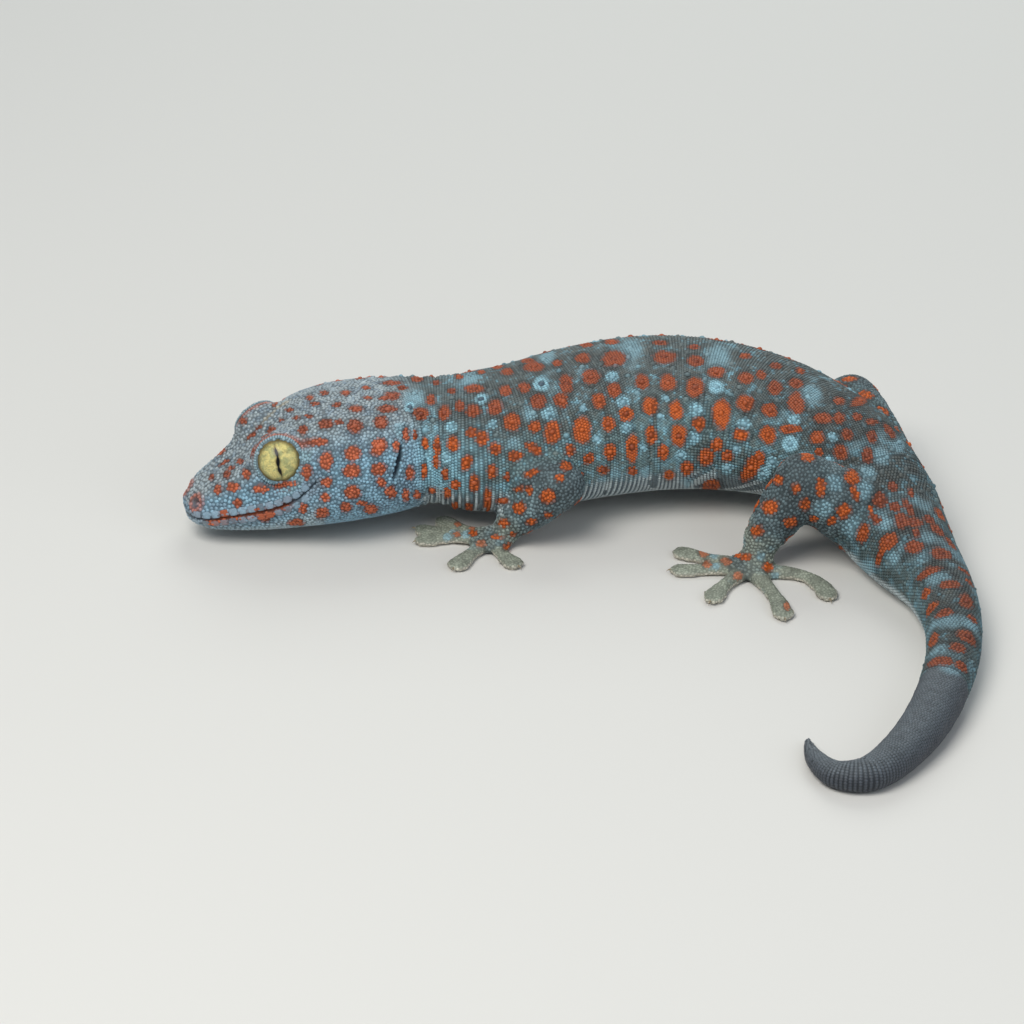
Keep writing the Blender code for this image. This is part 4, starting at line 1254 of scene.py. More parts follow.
def hidden_shapes(surface, places, taken, draw):
    """Marks where the photograph shows no skin: the far side, the far legs and the flanks below."""
    s, region, up = places.distance, places.region, np.sin(places.angle)
    away = facing_away(surface)
    body = (region == 0) & (up > -0.35) & away & (s > 4.0)
    head = body & (s < HEAD_LENGTH) & (np.abs(head_gap(places.points)) > 2.0)
    far_leg = (region == 2) | (region == 4)
    legs = (region > 0) & (places.along < 2.2) & (far_leg | away)
    zones = (
        (body & (s >= HEAD_LENGTH) & (s < TAIL_START), 4.9, 1.45, 1.35),
        (head, 3.9, 1.05, 1.3),
        (legs, 4.4, 1.1, 1.2),
    )
    for chosen, gap, radius, stretch in zones:
        points, normals = surface.scatter(chosen, int(chosen.sum() * 1.5), draw)
        gaps = gap * draw.uniform(0.85, 1.15, len(taken) + len(points))
        kept = free_ones(taken, points, gaps)
        points, normals = points[kept], normals[kept]
        for place, normal, lie in zip(points, normals, lie_of(Places(points))):
            half = radius * draw.uniform(0.75, 1.3)
            yield flat_shape(place, normal, lie, half, half * draw.uniform(1.0, stretch), draw)
        taken = np.concatenate([taken, points])


def flat_shape(place, normal, lie, half, long, draw):
    """The shape of a mark drawn straight on the skin, turned a little from the way scales lie."""
    first = unit(lie - normal * (lie @ normal))
    first, second = turned_axes(first, np.cross(normal, first), draw.uniform(-40.0, 40.0))
    return mark_shape(place, first, second, half, long, 1.5 * long)


# How strong the dark cores of the pale dots are
PALE_CORE = 0.4


def all_marks(surface, places, draw):
    """The layers of marks, from the lowest: pale patches, then pale dots, then orange spots."""
    patches, dots, spots = Marks(0.45, 0.0, 0.7), Marks(0.25, 0.3, 0.9), Marks(0.16, 0.45, 1.0)
    for shape in seen_shapes(surface, rounds(PATCHES)):
        patches.add(shape, PATCH_BLUE)
    # The brows' painted highlight lies among the pale patches
    for shape in seen_shapes(surface, BROW_HIGHLIGHT_MARKS):
        patches.add(shape, BROW_HIGHLIGHT)
    for row in rounds(TAIL_PATCHES):
        patches.add(tail_shape(*row), TAIL_BLUE)
    for rows, core in ((DOTS, PALE_CORE), (DARK_DOTS, 1.0)):
        for shape in seen_shapes(surface, rounds(rows)):
            dots.add(shape, PALE_BLUE, DOT_CORE, core)
    shapes = seen_shapes(surface, TRUNK_MARKS + NECK_MARKS + LEG_MARKS + HEAD_MARKS)
    shapes += [tail_shape(*row) for row in TAIL_MARKS]
    taken = np.array([shape[0] for shape in shapes + dots.shapes])
    shapes += hidden_shapes(surface, places, taken, draw)
    here = Places(np.array([shape[0] for shape in shapes]))
    on_body = here.region == 0
    on_back = smooth_step(0.6, 0.95, np.sin(here.angle)) * on_body
    on_tail = smooth_step(TAIL_START - 40.0, TAIL_START, here.distance) * on_body
    on_foot = (here.region > 0) & (here.along > FOOT_START)
    for k, shape in enumerate(shapes):
        colour = HEAD_ORANGE if here.distance[k] < HEAD_LENGTH else ORANGE
        colour = colour * (1.0 - 0.7 * on_back[k]) + BROWN * 0.7 * on_back[k]
        colour = colour * (1.0 - 0.22 * on_tail[k])
        colour = colour + 0.32 * (FOOT - colour) * on_foot[k]
        core = draw.uniform(0.0, 0.8) * (here.distance[k] > HEAD_LENGTH) * on_body[k]
        spots.add(shape, colour * draw.uniform(0.9, 1.08), DARK_RED, core)
    add_hidden_dots(surface, places, dots, taken, shapes, draw)
    return patches, dots, spots


# Dots of the far side: places tried, and how far they keep off other marks and each other
HIDDEN_DOT_TRIES = 6000
DOT_CLEAR, DOT_GAP = 2.7, 5.6


def add_hidden_dots(surface, places, dots, taken, shapes, draw):
    """Pale dots between the spots of the far side."""
    chosen = (places.region == 0) & facing_away(surface) & (np.sin(places.angle) > -0.2)
    chosen &= (places.distance > HEAD_LENGTH) & (places.distance < TAIL_START)
    points, normals = surface.scatter(chosen, HIDDEN_DOT_TRIES, draw)
    fixed = np.concatenate([taken, [shape[0] for shape in shapes]])
    gaps = np.repeat((DOT_CLEAR, DOT_GAP), (len(fixed), len(points)))
    kept = free_ones(fixed, points, gaps)
    for place, normal in zip(points[kept], normals[kept]):
        half = draw.uniform(0.8, 1.3)
        shape = flat_shape(place, normal, np.array((1.0, 0.2, 0.1)), half, half, draw)
        dots.add(shape, PALE_BLUE, DOT_CORE, PALE_CORE)


def head_gap(points):
    back, _, up = head_coordinates(points)
    return np.where(back < 24.0, line_distance(back, up, MOUTH_LINE)[0], 9.0)


def dome(sides, rings, squareness=1.0):
    """A scale seen from above: points (along, across, height) with the apex last, and faces."""
    points, faces = [], []
    for radius, height in rings:
        for k in range(sides):
            a = FULL_TURN * (k + 0.5) / sides
            u, v = (float(signed_power(value, squareness)) for value in (math.cos(a), math.sin(a)))
            points.append((radius * u, radius * v, height))
    points.append((0.12, 0.0, 1.0))
    last = len(points) - 1 - sides
    for low in range(0, last, sides):
        high = low + sides
        for k in range(sides):
            n = (k + 1) % sides
            faces.append((low + k, low + n, high + n))
            faces.append((low + k, high + n, high + k))
    faces.extend((last + k, last + (k + 1) % sides, len(points) - 1) for k in range(sides))
    return np.array(points), np.array(faces)


GRANULE = dome(6, ((1.0, -0.5), (0.72, 0.62)))
PLATE = dome(12, ((1.0, -0.6), (0.9, 0.62), (0.6, 0.92)), 0.5)
TUBERCLE = dome(8, ((1.0, -0.25), (0.78, 0.3), (0.42, 0.82)))
UNDERSIDE_SHADE, FOOT_SHADE, RIM_SHADE, TOP_SHADE = 0.46, 0.7, 0.94, 1.05
# Side of a scale's patch on the bake map
PATCH = 0.003


class Coat:
    """Scales gathered with their sizes, tilt and colours."""

    def __init__(self, marks, draw, under_shade=UNDERSIDE_SHADE):
        self.marks, self.draw, self.under_shade = marks, draw, under_shade
        self.parts = []

    def sizes(self, count, size, vary=0.12):
        """Half lengths, half widths and heights that vary about a size."""
        return np.array(size) * self.draw.uniform(1.0 - vary, 1.0 + vary, (count, 3))

    def tones(self, places, vary=0.13):
        tones = painted(places, self.marks)
        return tones * self.draw.uniform(1.0 - vary, 1.0 + vary, (len(tones), 1))

    def add(self, form, roots, normals, lies, sizes, tilt, colours):
        """Scales of one form at their roots; the tilt lifts each rear edge."""
        if len(roots):
            self.parts.append((form, roots, normals, lies, sizes, tilt, colours))

    def add_granules(self, places, normals, size, tilt, lies=None):
        """Granules that lie towards the tail or the toes, or the ways given."""
        sizes = self.sizes(len(normals), size)
        tones = self.tones(places)
        lies = lie_of(places) if lies is None else lies
        self.add(GRANULE, places.points, normals, lies, sizes, tilt, tones)

    def build(self, name, unwrap):
        """One joined mesh of all the scales, with a bake patch at each root's place."""
        blocks, faces, colours, patches = [], [], [], []
        shift = 0
        for (points, template), roots, normals, lies, sizes, tilt, tones in self.parts:
            lies = unit(lies - normals * (lies * normals).sum(1)[:, None])
            sides = np.cross(normals, lies)
            u, v, w = points.T
            along = u * sizes[:, :1]
            lift = w * sizes[:, 2:] + tilt * along
            block = roots[:, None] + along[..., None] * lies[:, None]
            block = block + (v * sizes[:, 1:2])[..., None] * sides[:, None]
            block = block + lift[..., None] * normals[:, None]
            blocks.append(block.reshape(-1, 3))
            steps = np.arange(len(roots)) * len(points)
            faces.append((template + steps[:, None, None] + shift).reshape(-1, 3))
            shade = np.where(w < 0.7, RIM_SHADE, TOP_SHADE)
            shade[w < 0.0] = self.under_shade
            colours.append((tones[:, None] * shade[:, None]).reshape(-1, 3))
            patch = unwrap(roots)[:, None] + np.column_stack([u, v]) * PATCH / 2
            patches.append(patch.reshape(-1, 2))
            shift += len(roots) * len(points)
        return raw_mesh(name, *map(np.concatenate, (blocks, faces, colours, patches)))


def raw_mesh(name, points, faces, colours, patches):
    mesh = bpy.data.meshes.new(name)
    mesh.vertices.add(len(points))
    mesh.vertices.foreach_set("co", points.astype(np.float32).ravel())
    mesh.loops.add(faces.size)
    mesh.loops.foreach_set("vertex_index", faces.astype(np.int32).ravel())
    mesh.polygons.add(len(faces))
    mesh.polygons.foreach_set("loop_start", np.arange(0, faces.size, 3, dtype=np.int32))
    layer = mesh.uv_layers.new(name="OFBake")
    layer.data.foreach_set("uv", patches[faces.ravel()].astype(np.float32).ravel())
    mesh.update(calc_edges=True)
    set_markings(mesh, colours)
    mesh.shade_smooth()
    return linked(name, mesh)


def set_markings(mesh, colours):
    layer = mesh.color_attributes.new("markings", "FLOAT_COLOR", "POINT")
    opaque = np.column_stack([np.clip(colours, 0, 1), np.ones(len(colours))])
    layer.data.foreach_set("color", opaque.ravel())


def body_rows(start, end, row_step, gap, low, high):
    """Staggered places in rows across the body, between two levels of the sine of the angle."""
    found = []
    turns = np.linspace(0.0, FULL_TURN, 361)
    first, last = (math.ceil((s - HEAD_LENGTH) / row_step) for s in (start, end))
    for k in range(first, last):
        s = HEAD_LENGTH + k * row_step
        travelled = run_lengths(body_points(np.full(len(turns), s), turns))
        count = max(6, int(round(travelled[-1] / gap)))
        wanted = (np.arange(count) + 0.5 * (k % 2)) * travelled[-1] / count
        angle = np.interp(wanted, travelled, turns)
        angle = angle[(np.sin(angle) > low) & (np.sin(angle) <= high)]
        found.append(np.column_stack([np.full(len(angle), s), angle]))
    return np.concatenate(found)


def rows_on_skin(surface, rows):
    """The skin's places and normals under rows of body places, leaving out what legs cover."""
    wanted = body_points(rows[:, 0], rows[:, 1], -SKIN_INSET)
    found, normals, hit = surface.nearest(wanted, 0.9)
    return found[hit], normals[hit]


# Tubercles: where they start, rows over the back in degrees from the left side, and their pitch
TUBERCLES_FROM = 30.0
BACK_ROWS = (4, 17, 29, 41, 53, 64, 75, 86, 97, 108, 119, 131, 143, 155, 167, 176)
BACK_PITCH = 4.4
TAIL_ROWS = (12, 38, 64, 90, 116, 142, 168)
TAIL_PITCH = 6.2
TUBERCLE_SIZE = (0.66, 0.58, 0.42)


def tubercle_places(surface, marks, draw):
    """A tubercle in each dot and spot of trunk and tail, and rows of plain ones between."""
    rows = []
    for k, degrees in enumerate(BACK_ROWS):
        stops = np.arange(TUBERCLES_FROM + BACK_PITCH / 2 * (k % 2), TAIL_START, BACK_PITCH)
        rows.extend((s, math.radians(degrees)) for s in stops)
    for degrees in TAIL_ROWS:
        stops = np.arange(TAIL_START, REGROWN_START - 1.5, TAIL_PITCH)
        rows.extend((s, math.radians(degrees)) for s in stops)
    rows = np.array(rows)
    rows += draw.normal(0.0, 1.0, rows.shape) * (0.5, 0.04)
    between, between_normals = rows_on_skin(surface, rows)
    centres = np.array([shape[0] for layer in marks[1:] for shape in layer.shapes])
    marked, marked_normals, hit = surface.nearest(centres, 2.0)
    here = Places(marked)
    hit &= (here.region == 0) & (here.distance > TUBERCLES_FROM) & (here.distance < REGROWN_START)
    marked, marked_normals = marked[hit], marked_normals[hit]
    free = clear_of(between, marked, 2.4)
    found = np.concatenate([marked, between[free]])
    normals = np.concatenate([marked_normals, between_normals[free]])
    off_ear = clear_of(found, [head_point(EAR_BACK, EAR_OFF, EAR_UP)], 5.0)
    return found[off_ear], normals[off_ear]


def clear_of(points, others, gap):
    """Which points lie farther than gap from all of the others."""
    tree = point_tree(others)
    return np.array([tree.find(point)[2] > gap for point in points])


# How far granules in rows and scattered ones keep off the places that are taken
ROW_CLEAR, SCATTER_CLEAR = 0.62, 0.52
# Most places tried for one scattered part of the coat
MOST_TRIES = 130000


def add_rows(coat, surface, rows, size, tilt, taken):
    """Granules in rows, thinned where the rows crowd and kept off what is taken."""
    found, normals = rows_on_skin(surface, rows)
    places = Places(found)
    keep = places.region == 0
    apart = spaced(found, np.full(len(found), 0.75 * size[0] + 0.16))
    keep &= np.isin(np.arange(len(found)), apart)
    if len(taken):
        keep &= clear_of(found, taken, ROW_CLEAR)
    coat.add_granules(places.pick(keep), normals[keep], size, tilt)


def add_tubercles(coat, found, normals):
    places = Places(found)
    sizes = coat.sizes(len(found), TUBERCLE_SIZE, 0.2)
    sizes *= np.clip(BODY.at(places.distance)[:, 2:3] / 9.0, 0.75, 1.0)
    tones = painted(places, coat.marks) * 1.06
    coat.add(TUBERCLE, found, normals, lie_of(places), sizes, 0.0, tones)


def on_map(share):
    """A share of the bake map's side, kept off its edges."""
    return 0.01 + 0.98 * share


def body_unwrap(start, end):
    def unwrap(points):
        distance, angle, _ = body_coordinates(points)
        along = np.clip((distance - start) / (end - start), 0.0, 1.0)
        return np.column_stack([on_map(along), on_map((angle / FULL_TURN) % 1.0)])

    return unwrap


def leg_unwrap(points):
    """Each leg has a quarter of the map: down the leg one way, round it the other."""
    places = Places(points)
    across = np.zeros(len(points))
    for k, leg in enumerate(LEGS):
        on = places.region == k + 1
        joints = np.array([joint[:3] for joint in LEGS[leg]])
        for part in range(2):
            here = on & (places.along >= part) & (places.along < part + 1)
            side, up = axis_frame(unit(joints[part + 1] - joints[part]))
            local = points[here] - joints[part]
            across[here] = np.arctan2(local @ up, local @ side) / FULL_TURN % 1.0
    along = (np.maximum(places.region - 1, 0) + 0.02 + 0.96 * places.along / 2.3) / 4.0
    return np.column_stack([np.clip(along, 0.005, 0.995), on_map(across)])


def foot_unwrap(points):
    """The tops of the feet lie above the soles, each on its place on the floor."""
    low, high = np.array((-25.0, -45.0)), np.array((68.0, 47.0))
    x, y = ((points[:, :2] - low) / (high - low)).T
    half = np.where(points[:, 2] > 0.5, 0.5, 0.0)
    return np.column_stack([on_map(x), half + 0.01 + 0.48 * y])


def add_scattered(coat, surface, chosen, gap, size, tilt, taken=()):
    """Granules spread over part of the skin, a gap apart."""
    count = min(int(chosen.sum() * 7), MOST_TRIES)
    points, normals = surface.scatter(chosen, count, coat.draw)
    seen = ~hidden_by_eye(points)
    points, normals = points[seen], normals[seen]
    kept = free_ones(taken, points, np.repeat((SCATTER_CLEAR, gap), (len(taken), len(points))))
    coat.add_granules(Places(points[kept]), normals[kept], size, tilt)


# Plates along each lip, and how far they stand off the mouth line
LABIALS, LIP_SHIFT = 13, 1.05


def lip_plates(coat, surface):
    """Rows of plates along both lips, and the places they take."""
    taken = []
    for side in SIDES:
        for shift in (LIP_SHIFT, -LIP_SHIFT):
            backs = np.linspace(1.2, 20.2, LABIALS)
            line = np.interp(backs, *np.array(MOUTH_LINE).T) + shift
            _, _, width, low, wide, top, square = BODY.at(backs).T
            v = (line - wide) / np.where(line > wide, top - wide, wide - low)
            off = width * (1.0 - np.minimum(np.abs(v), 0.98) ** square) ** (1.0 / square)
            wanted = [head_point(b, side * o, u) for b, o, u in zip(backs, off, line)]
            found, normals, hit = surface.nearest(np.array(wanted), 2.0)
            found, normals, backs = found[hit], normals[hit], backs[hit]
            size = np.interp(backs, (0.0, 8.0, 21.0), (0.8, 0.82, 0.74))
            sizes = np.column_stack([size, size * 0.92, np.full(len(size), 0.08)])
            tones = coat.tones(Places(found), 0.06)
            coat.add(PLATE, found, normals, unit(np.gradient(found, axis=0)), sizes, 0.03, tones)
            taken.append(found)
    return np.concatenate(taken)


# Scales in each ring round an eye
LID_SCALES = 56


def lid_fringe(coat, surface):
    """Small scales in rings round each eye's opening, and the places they take."""
    taken = []
    turns = circle(LID_SCALES)
    for side in SIDES:
        axis = eye_axis(side)
        across, up = axis_frame(axis)
        spread = np.outer(np.cos(turns), across) + np.outer(np.sin(turns), up)
        for beyond, size in ((3.4, 0.24), (8.4, 0.26), (13.6, 0.28)):
            tilt = math.radians(LID_OPENING + beyond)
            ways = axis * math.cos(tilt) + spread * math.sin(tilt)
            wanted = eye_centre(side) + ways * (EYE_RADIUS + 0.6)
            found, normals, hit = surface.nearest(wanted, 1.6)
            places = Places(found[hit])
            coat.add_granules(places, normals[hit], (size * 1.2, size, 0.1), 0.05, spread[hit])
            taken.append(found[hit])
    return np.concatenate(taken)


def hidden_by_eye(points):
    """Which points lie on the skin that the eyeballs cover."""
    away = [np.linalg.norm(points - eye_centre(side), axis=1) for side in SIDES]
    return np.minimum(*away) < EYE_RADIUS + 0.12


def dress(piece, slot_name, material):
    """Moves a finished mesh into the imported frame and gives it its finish."""
    piece.data.transform(TO_METRES)
    piece.data.materials.clear()
    piece.data.materials.append(material)
    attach(piece, "root")
    return piece


# The pieces of the body's coat, and where each starts and ends along it
BODY_PIECES = ("trunk_1", "trunk_2", "trunk_3", "trunk_4", "tail")
BODY_CUTS = (HEAD_LENGTH, 66.0, 88.0, 108.0, TAIL_START - 8.0, REGROWN_START)
# Scales in rows: steps along and across, lowest and highest level; size; tilt
TRUNK_SCALES = (
    ((0.52, 0.58, -0.82, 1.1), (0.36, 0.32, 0.15), 0.12),
    ((0.96, 1.0, -1.1, -0.82), (0.62, 0.53, 0.14), 0.16),
)
TAIL_SCALES = (
    ((0.62, 0.66, -0.5, 1.1), (0.42, 0.35, 0.16), 0.16),
    ((1.3, 1.2, -1.1, -0.5), (0.82, 0.65, 0.13), 0.16),
)
REGROWN_SCALES = ((0.56, 0.6, -1.1, 1.1), (0.38, 0.33, 0.09), 0.08)
# Scales scattered over the head: where they start and end, their gap and size
HEAD_ZONES = (
    (0.0, 12.0, 0.62, (0.43, 0.41, 0.17)),
    (12.0, 26.0, 0.55, (0.39, 0.37, 0.16)),
    (26.0, HEAD_LENGTH, 0.53, (0.38, 0.36, 0.16)),
)


def coat_pieces(surface, places, marks):
    """The coat in pieces, each with its slot."""
    draw = np.random.default_rng(7)
    knobs = tubercle_places(surface, marks, draw)
    yield from body_coats(surface, marks, draw, *knobs)
    yield from head_coats(surface, places, marks, draw, *knobs)
    yield from leg_coats(surface, places, marks, draw)


def body_coats(surface, marks, draw, knobs, knob_normals):
    knob_distance = body_coordinates(knobs)[0]
    for name, start, end in zip(BODY_PIECES, BODY_CUTS, BODY_CUTS[1:]):
        coat = Coat(marks, draw)
        here = (knob_distance >= start) & (knob_distance < end)
        add_tubercles(coat, knobs[here], knob_normals[here])
        for rows, size, tilt in TAIL_SCALES if name == "tail" else TRUNK_SCALES:
            add_rows(coat, surface, body_rows(start, end, *rows), size, tilt, knobs)
        yield coat.build("scales_" + name, body_unwrap(start, end)), "skin_body"
    coat = Coat(marks, draw)
    steps, size, tilt = REGROWN_SCALES
    rows = body_rows(REGROWN_START, BODY.length - 0.6, *steps)
    add_rows(coat, surface, rows, size, tilt, ())
    yield coat.build("scales_tail_end", body_unwrap(REGROWN_START, BODY.length)), "skin_tail_end"


def head_coats(surface, places, marks, draw, knobs, knob_normals):
    coat = Coat(marks, draw)
    here = body_coordinates(knobs)[0] < HEAD_LENGTH
    add_tubercles(coat, knobs[here], knob_normals[here])
    taken = np.concatenate([knobs[here], lip_plates(coat, surface), lid_fringe(coat, surface)])
    head = head_coordinates(places.points)
    open_skin = (places.region == 0) & (np.abs(head_gap(places.points)) >= 0.3)
    open_skin &= (nostril_distance(*head) > 1.0) & (ear_share(*head)[0] > 0.8)
    for k, (start, end, gap, size) in enumerate(HEAD_ZONES):
        chosen = open_skin & (places.distance >= start) & (places.distance < end)
        add_scattered(coat, surface, chosen, gap, size, 0.08, taken)
        yield coat.build(f"scales_head_{k + 1}", body_unwrap(0.0, HEAD_LENGTH)), "skin_head"
        coat = Coat(marks, draw)


def leg_coats(surface, places, marks, draw):
    for name, low, high in (("forelegs", 1, 2), ("hindlegs", 3, 4)):
        on = (places.region >= low) & (places.region <= high)
        on_foot = places.along > FOOT_START
        coat = Coat(marks, draw)
        add_scattered(coat, surface, on & ~on_foot, 0.55, (0.4, 0.37, 0.14), 0.1)
        yield coat.build("scales_" + name, leg_unwrap), "skin_limb"
        coat = Coat(marks, draw, FOOT_SHADE)
        add_scattered(coat, surface, on & on_foot, 0.46, (0.33, 0.31, 0.06), 0.04)
        yield coat.build(f"scales_{name}_feet", foot_unwrap), "skin_toe"


def set_inputs(tree, node, inputs):
    """Gives sockets their numbers and colours, or links them to other nodes' outputs."""
    for key, value in inputs.items():
        socket = node.inputs[key]
        if isinstance(value, bpy.types.NodeSocket):
            tree.links.new(value, socket)
        elif isinstance(value, np.ndarray):
            socket.default_value = (*value, 1.0)
        else:
            socket.default_value = value


def output_of(tree, kind, output, inputs, **settings):
    """The named output of a new node."""
    node = tree.nodes.new("ShaderNode" + kind)
    for name, value in settings.items():
        setattr(node, name, value)
    set_inputs(tree, node, inputs)
    return node.outputs[output]


def math_node(tree, operation, *values):
    return output_of(tree, "Math", 0, dict(enumerate(values)), operation=operation)


def ranged(tree, value, *limits, how="LINEAR"):
    """A value moved from one range to another, from 0 to 1 where none is given."""
    inputs = dict(zip(("From Min", "From Max", "To Min", "To Max"), limits))
    return output_of(tree, "MapRange", "Result", {"Value": value, **inputs}, interpolation_type=how)


def eased(tree, value, low, high):
    return ranged(tree, value, low, high, how="SMOOTHSTEP")


def blended(tree, share, first, second, how="MIX"):
    inputs = {"Factor": share, "A": first, "B": second}
    return output_of(tree, "Mix", "Result", inputs, data_type="RGBA", blend_type=how)


def surface_noise(tree, place, scale, detail, distortion=0.0):
    inputs = {"Vector": place, "Scale": scale, "Detail": detail, "Distortion": distortion}
    return output_of(tree, "TexNoise", "Fac", inputs)


def new_material(name):
    made = bpy.data.materials.new(name)
    made.use_nodes = True
    return made, made.node_tree, made.node_tree.nodes["Principled BSDF"]


def scaly_material(name, roughness, grain, sheen):
    """Markings from the mesh, broken up by fine pigment, with a satin, finely pitted finish."""
    made, tree, shader = new_material(name)
    marks = output_of(tree, "Attribute", "Color", {}, attribute_name="markings")
    place = output_of(tree, "TexCoord", "Object", {})
    pigment = surface_noise(tree, place, grain, 5.0)
    speckle = ranged(tree, pigment, 0.3, 0.7, 0.82, 1.16)
    pits = {"Strength": 0.25, "Distance": 0.00006, "Height": pigment}
    looks = {
        "Base Color": blended(tree, 1.0, marks, speckle, "MULTIPLY"),
        "Roughness": ranged(tree, pigment, 0.0, 1.0, roughness - 0.08, roughness + 0.08),
        "Normal": output_of(tree, "Bump", "Normal", pits),
        "Specular IOR Level": sheen,
    }
    set_inputs(tree, shader, looks)
    return made


def make_eye(name, side, material):
    """A fine ball whose vertices carry their place on the iris, seen along the eye's axis."""
    bm = bmesh.new()
    bmesh.ops.create_uvsphere(bm, u_segments=96, v_segments=64, radius=EYE_RADIUS - 0.05)
    axis = eye_axis(side)
    turn = Vector(axis).to_track_quat("Z", "Y").to_matrix()
    bmesh.ops.rotate(bm, matrix=turn, verts=bm.verts, cent=(0, 0, 0))
    mesh = mesh_of(bm, name)
    local = vertices_of(mesh)
    level = unit(np.cross(axis, (0.0, 0.0, 1.0)))
    across, along = turned_axes(level, np.cross(level, axis), PUPIL_LEAN * side)
    plane = np.column_stack([local @ across, local @ along, local @ axis])
    layer = mesh.attributes.new("iris", "FLOAT_VECTOR", "POINT")
    layer.data.foreach_set("vector", plane.astype(np.float32).ravel())
    set_vertices(mesh, local + eye_centre(side))
    mesh.shade_smooth()
    return dress(linked(name, mesh), "eye", material)


PUPIL_LEAN = -11.0
IRIS = srgb(208, 196, 128)
IRIS_GREEN = srgb(160, 162, 112)
IRIS_VEIN = srgb(104, 84, 50)
PUPIL_BLACK = np.full(3, 0.004)
PUPIL_HALF_HEIGHT, PUPIL_HALF_WIDTH, PUPIL_LOBE = 2.9, 0.34, 1.9


def eye_material():
    """A veined green-gold iris with a dark rim and a scalloped slit, under a wet clear coat."""
    made, tree, shader = new_material("eye_wet")
    place = output_of(tree, "Attribute", "Vector", {}, attribute_name="iris")
    split = tree.nodes.new("ShaderNodeSeparateXYZ")
    tree.links.new(place, split.inputs[0])
    x, y, _ = split.outputs
    squares = [math_node(tree, "POWER", value, 2.0) for value in (x, y)]
    radius = math_node(tree, "SQRT", math_node(tree, "ADD", *squares))
    cloud = surface_noise(tree, place, 0.9, 6.0, 0.6)
    colour = blended(tree, eased(tree, cloud, 0.4, 0.62), IRIS, IRIS_GREEN)
    crack = math_node(tree, "SUBTRACT", surface_noise(tree, place, 1.5, 6.0, 1.2), 0.5)
    crack = math_node(tree, "ABSOLUTE", crack)
    faint = math_node(tree, "MULTIPLY", eased(tree, crack, 0.0, 0.05), 0.45)
    veins = math_node(tree, "SUBTRACT", 0.45, faint)
    colour = blended(tree, veins, colour, IRIS_VEIN)
    rim = math_node(tree, "MULTIPLY", eased(tree, radius, 3.0, 3.9), 0.85)
    colour = blended(tree, rim, colour, IRIS_VEIN * 0.6)
    turn = math_node(tree, "MULTIPLY", y, math.pi / PUPIL_LOBE)
    lobe = math_node(tree, "ABSOLUTE", math_node(tree, "COSINE", turn))
    level = math_node(tree, "DIVIDE", math_node(tree, "ABSOLUTE", y), PUPIL_HALF_HEIGHT)
    taper = math_node(tree, "SUBTRACT", 1.0, math_node(tree, "POWER", level, 4.0))
    swell = math_node(tree, "MULTIPLY_ADD", lobe, 0.6 * PUPIL_HALF_WIDTH, 0.4 * PUPIL_HALF_WIDTH)
    zigzag = math_node(tree, "MULTIPLY_ADD", math_node(tree, "SINE", turn), 0.1, x)
    width = math_node(tree, "MULTIPLY", taper, swell)
    gap = math_node(tree, "SUBTRACT", math_node(tree, "ABSOLUTE", zigzag), width)
    inside = math_node(tree, "SUBTRACT", 1.0, eased(tree, gap, -0.05, 0.06))
    halo = math_node(tree, "MULTIPLY", eased(tree, gap, 0.0, 0.45), 0.6)
    ring = math_node(tree, "SUBTRACT", 0.6, halo)
    colour = blended(tree, ring, colour, IRIS_VEIN * 0.5)
    looks = {
        "Base Color": blended(tree, inside, colour, PUPIL_BLACK),
        "Roughness": 0.35,
        "Specular IOR Level": 0.15,
        "Coat Weight": 0.16,
        "Coat Roughness": 0.03,
    }
    set_inputs(tree, shader, looks)
    return made


CLAW_LENGTH, CLAW_RADIUS, CLAW_SIDES = 1.2, 0.24, 10
HORN_DARK = srgb(96, 84, 66)
HORN_PALE = srgb(170, 156, 128)


def claw_shell(leg, toe):
    """A curved claw over the end of a pad."""
    ends = toe_line(leg, toe, [0.9, 1.0])
    out = unit(ends[1] - ends[0])
    turns = circle(CLAW_SIDES)
    rings = []
    for share in np.linspace(0.0, 1.0, 9):
        middle = np.array(TOES[leg][toe][:2]) + out * (share - 0.5) * CLAW_LENGTH
        height = 0.8 + 0.5 * math.sin(share * math.pi * 0.8) - 0.55 * share
        radius = CLAW_RADIUS * (1.0 - 0.9 * share**1.3)
        off = np.outer(np.cos(turns) * 0.75 * radius, (-out[1], out[0]))
        rings.append(np.column_stack([middle + off, height + np.sin(turns) * radius]))
    return loft_shell(rings)


def make_claws():
    """Claws on all toes but the innermost."""
    claws = joined("claws", [claw_shell(leg, toe) for leg in LEGS for toe in range(1, TOE_COUNT)])
    claws.data.shade_smooth()
    return claws


def horn_material():
    made, tree, shader = new_material("claw_horn")
    streaks = surface_noise(tree, output_of(tree, "TexCoord", "Object", {}), 1800.0, 2.0)
    colour = blended(tree, streaks, HORN_DARK, HORN_PALE)
    set_inputs(tree, shader, {"Base Color": colour, "Roughness": 0.35})
    return made


def add_camera():
    data = bpy.data.cameras.new("camera")
    data.sensor_width = SENSOR
    data.lens = FOCAL_PIXELS / FRAME_PIXELS * SENSOR
    data.clip_start = 0.01
    camera = linked("camera", data)
    camera.location = (CAMERA_PLACE - ORIGIN) * MM
    camera.rotation_euler = (math.pi / 2 - CAMERA_DOWN, 0.0, 0.0)
    bpy.context.scene.camera = camera


def area_light(name, place, size, power, colour):
    """A soft square lamp that points at the animal."""
    data = bpy.data.lights.new(name, "AREA")
    data.size, data.energy, data.color = size, power, colour
    lamp = linked(name, data)
    lamp.location = place
    towards = Vector((0.0, 0.0, 0.012)) - Vector(place)
    lamp.rotation_euler = towards.to_track_quat("-Z", "Y").to_euler()


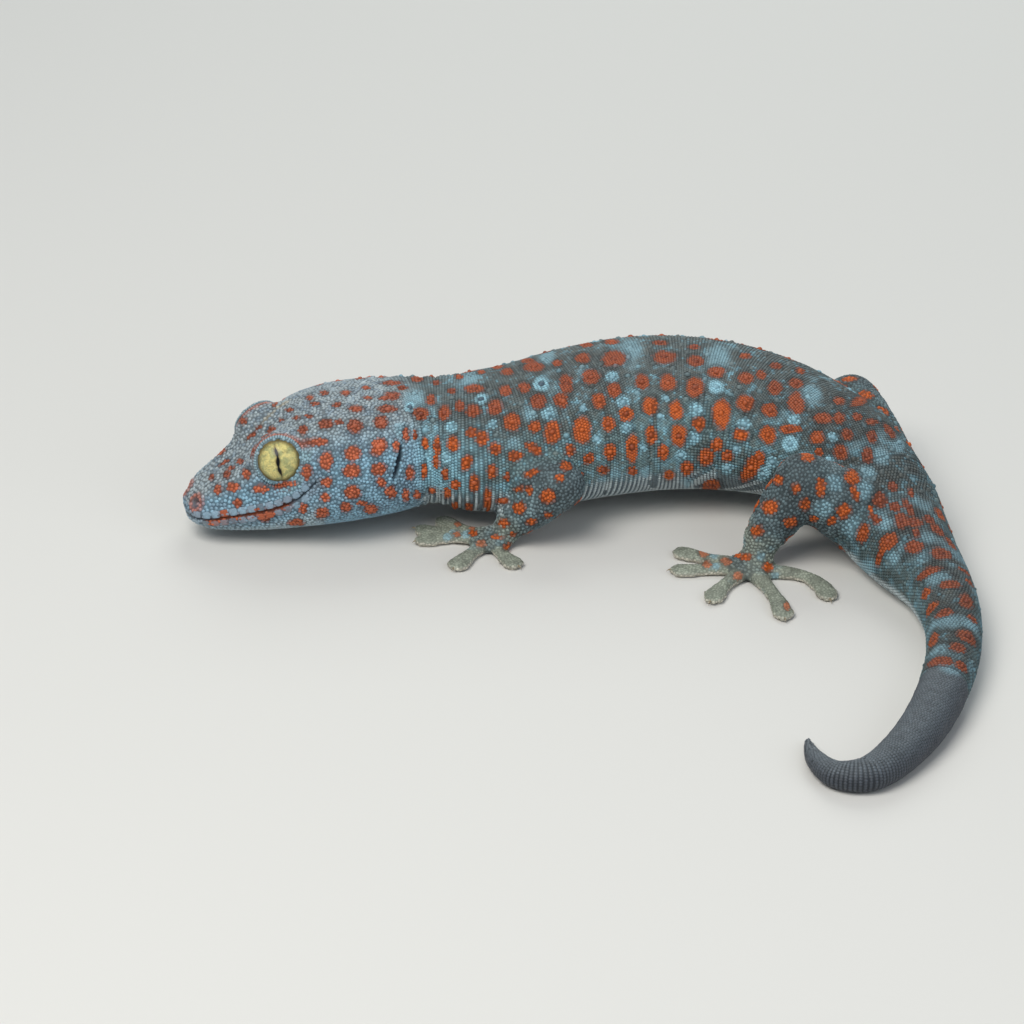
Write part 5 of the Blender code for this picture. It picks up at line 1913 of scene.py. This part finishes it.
def add_studio():
    """A wide pale floor, three soft lamps and a dim sky."""
    bm = bmesh.new()
    bmesh.ops.create_grid(bm, x_segments=1, y_segments=1, size=3.0)
    floor = linked("floor", mesh_of(bm, "floor"))
    pale, tree, shader = new_material("pale_floor")
    set_inputs(tree, shader, {"Base Color": np.array((0.62, 0.61, 0.58)), "Roughness": 0.8})
    floor.data.materials.append(pale)
    area_light("key", (-0.25, -0.35, 0.65), 0.45, 5.2, (1.0, 0.98, 0.94))
    area_light("fill", (0.55, -0.45, 0.35), 0.6, 1.6, (0.88, 0.94, 1.0))
    area_light("back", (0.1, 0.6, 0.5), 0.5, 2.2, (0.95, 1.0, 0.97))
    world = bpy.data.worlds.new("sky")
    world.use_nodes = True
    sky = world.node_tree.nodes["Background"]
    set_inputs(world.node_tree, sky, {"Color": np.array((0.8, 0.88, 1.0)), "Strength": 0.32})
    bpy.context.scene.world = world
    bpy.context.scene.view_settings.view_transform = "Standard"


# Each slot's finish: roughness, grain and sheen
FINISHES = {
    "skin_head": (0.5, 2600.0, 0.5),
    "skin_body": (0.55, 2400.0, 0.45),
    "skin_limb": (0.6, 2400.0, 0.4),
    "skin_toe": (0.6, 2800.0, 0.4),
    "skin_tail_end": (0.5, 2600.0, 0.5),
}


def main():
    add_camera()
    add_studio()
    skin = make_skin()
    surface = Surface(skin.data)
    places = Places(surface.points)
    marks = all_marks(surface, places, np.random.default_rng(3))
    on_foot = (places.region > 0) * smooth_step(1.95, 2.15, places.along)
    shade = UNDERSIDE_SHADE + (FOOT_SHADE - UNDERSIDE_SHADE) * on_foot
    set_markings(skin.data, painted(places, marks) * shade[:, None])
    finishes = {}
    for slot_name, looks in FINISHES.items():
        finishes[slot_name] = scaly_material(slot_name.replace("skin", "scales"), *looks)
    for piece, slot_name in coat_pieces(surface, places, marks):
        dress(piece, slot_name, finishes[slot_name])
    dress(skin, "skin_body", scaly_material("skin_under", 0.65, 2400.0, 0.3))
    flesh = [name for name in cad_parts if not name.startswith("eye_")]
    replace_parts(skin, *flesh)
    wet = eye_material()
    for name, side in (("eye_left", 1), ("eye_right", -1)):
        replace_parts(make_eye("ball_" + name, side, wet), name)
    dress(make_claws(), "skin_toe", horn_material())


main()
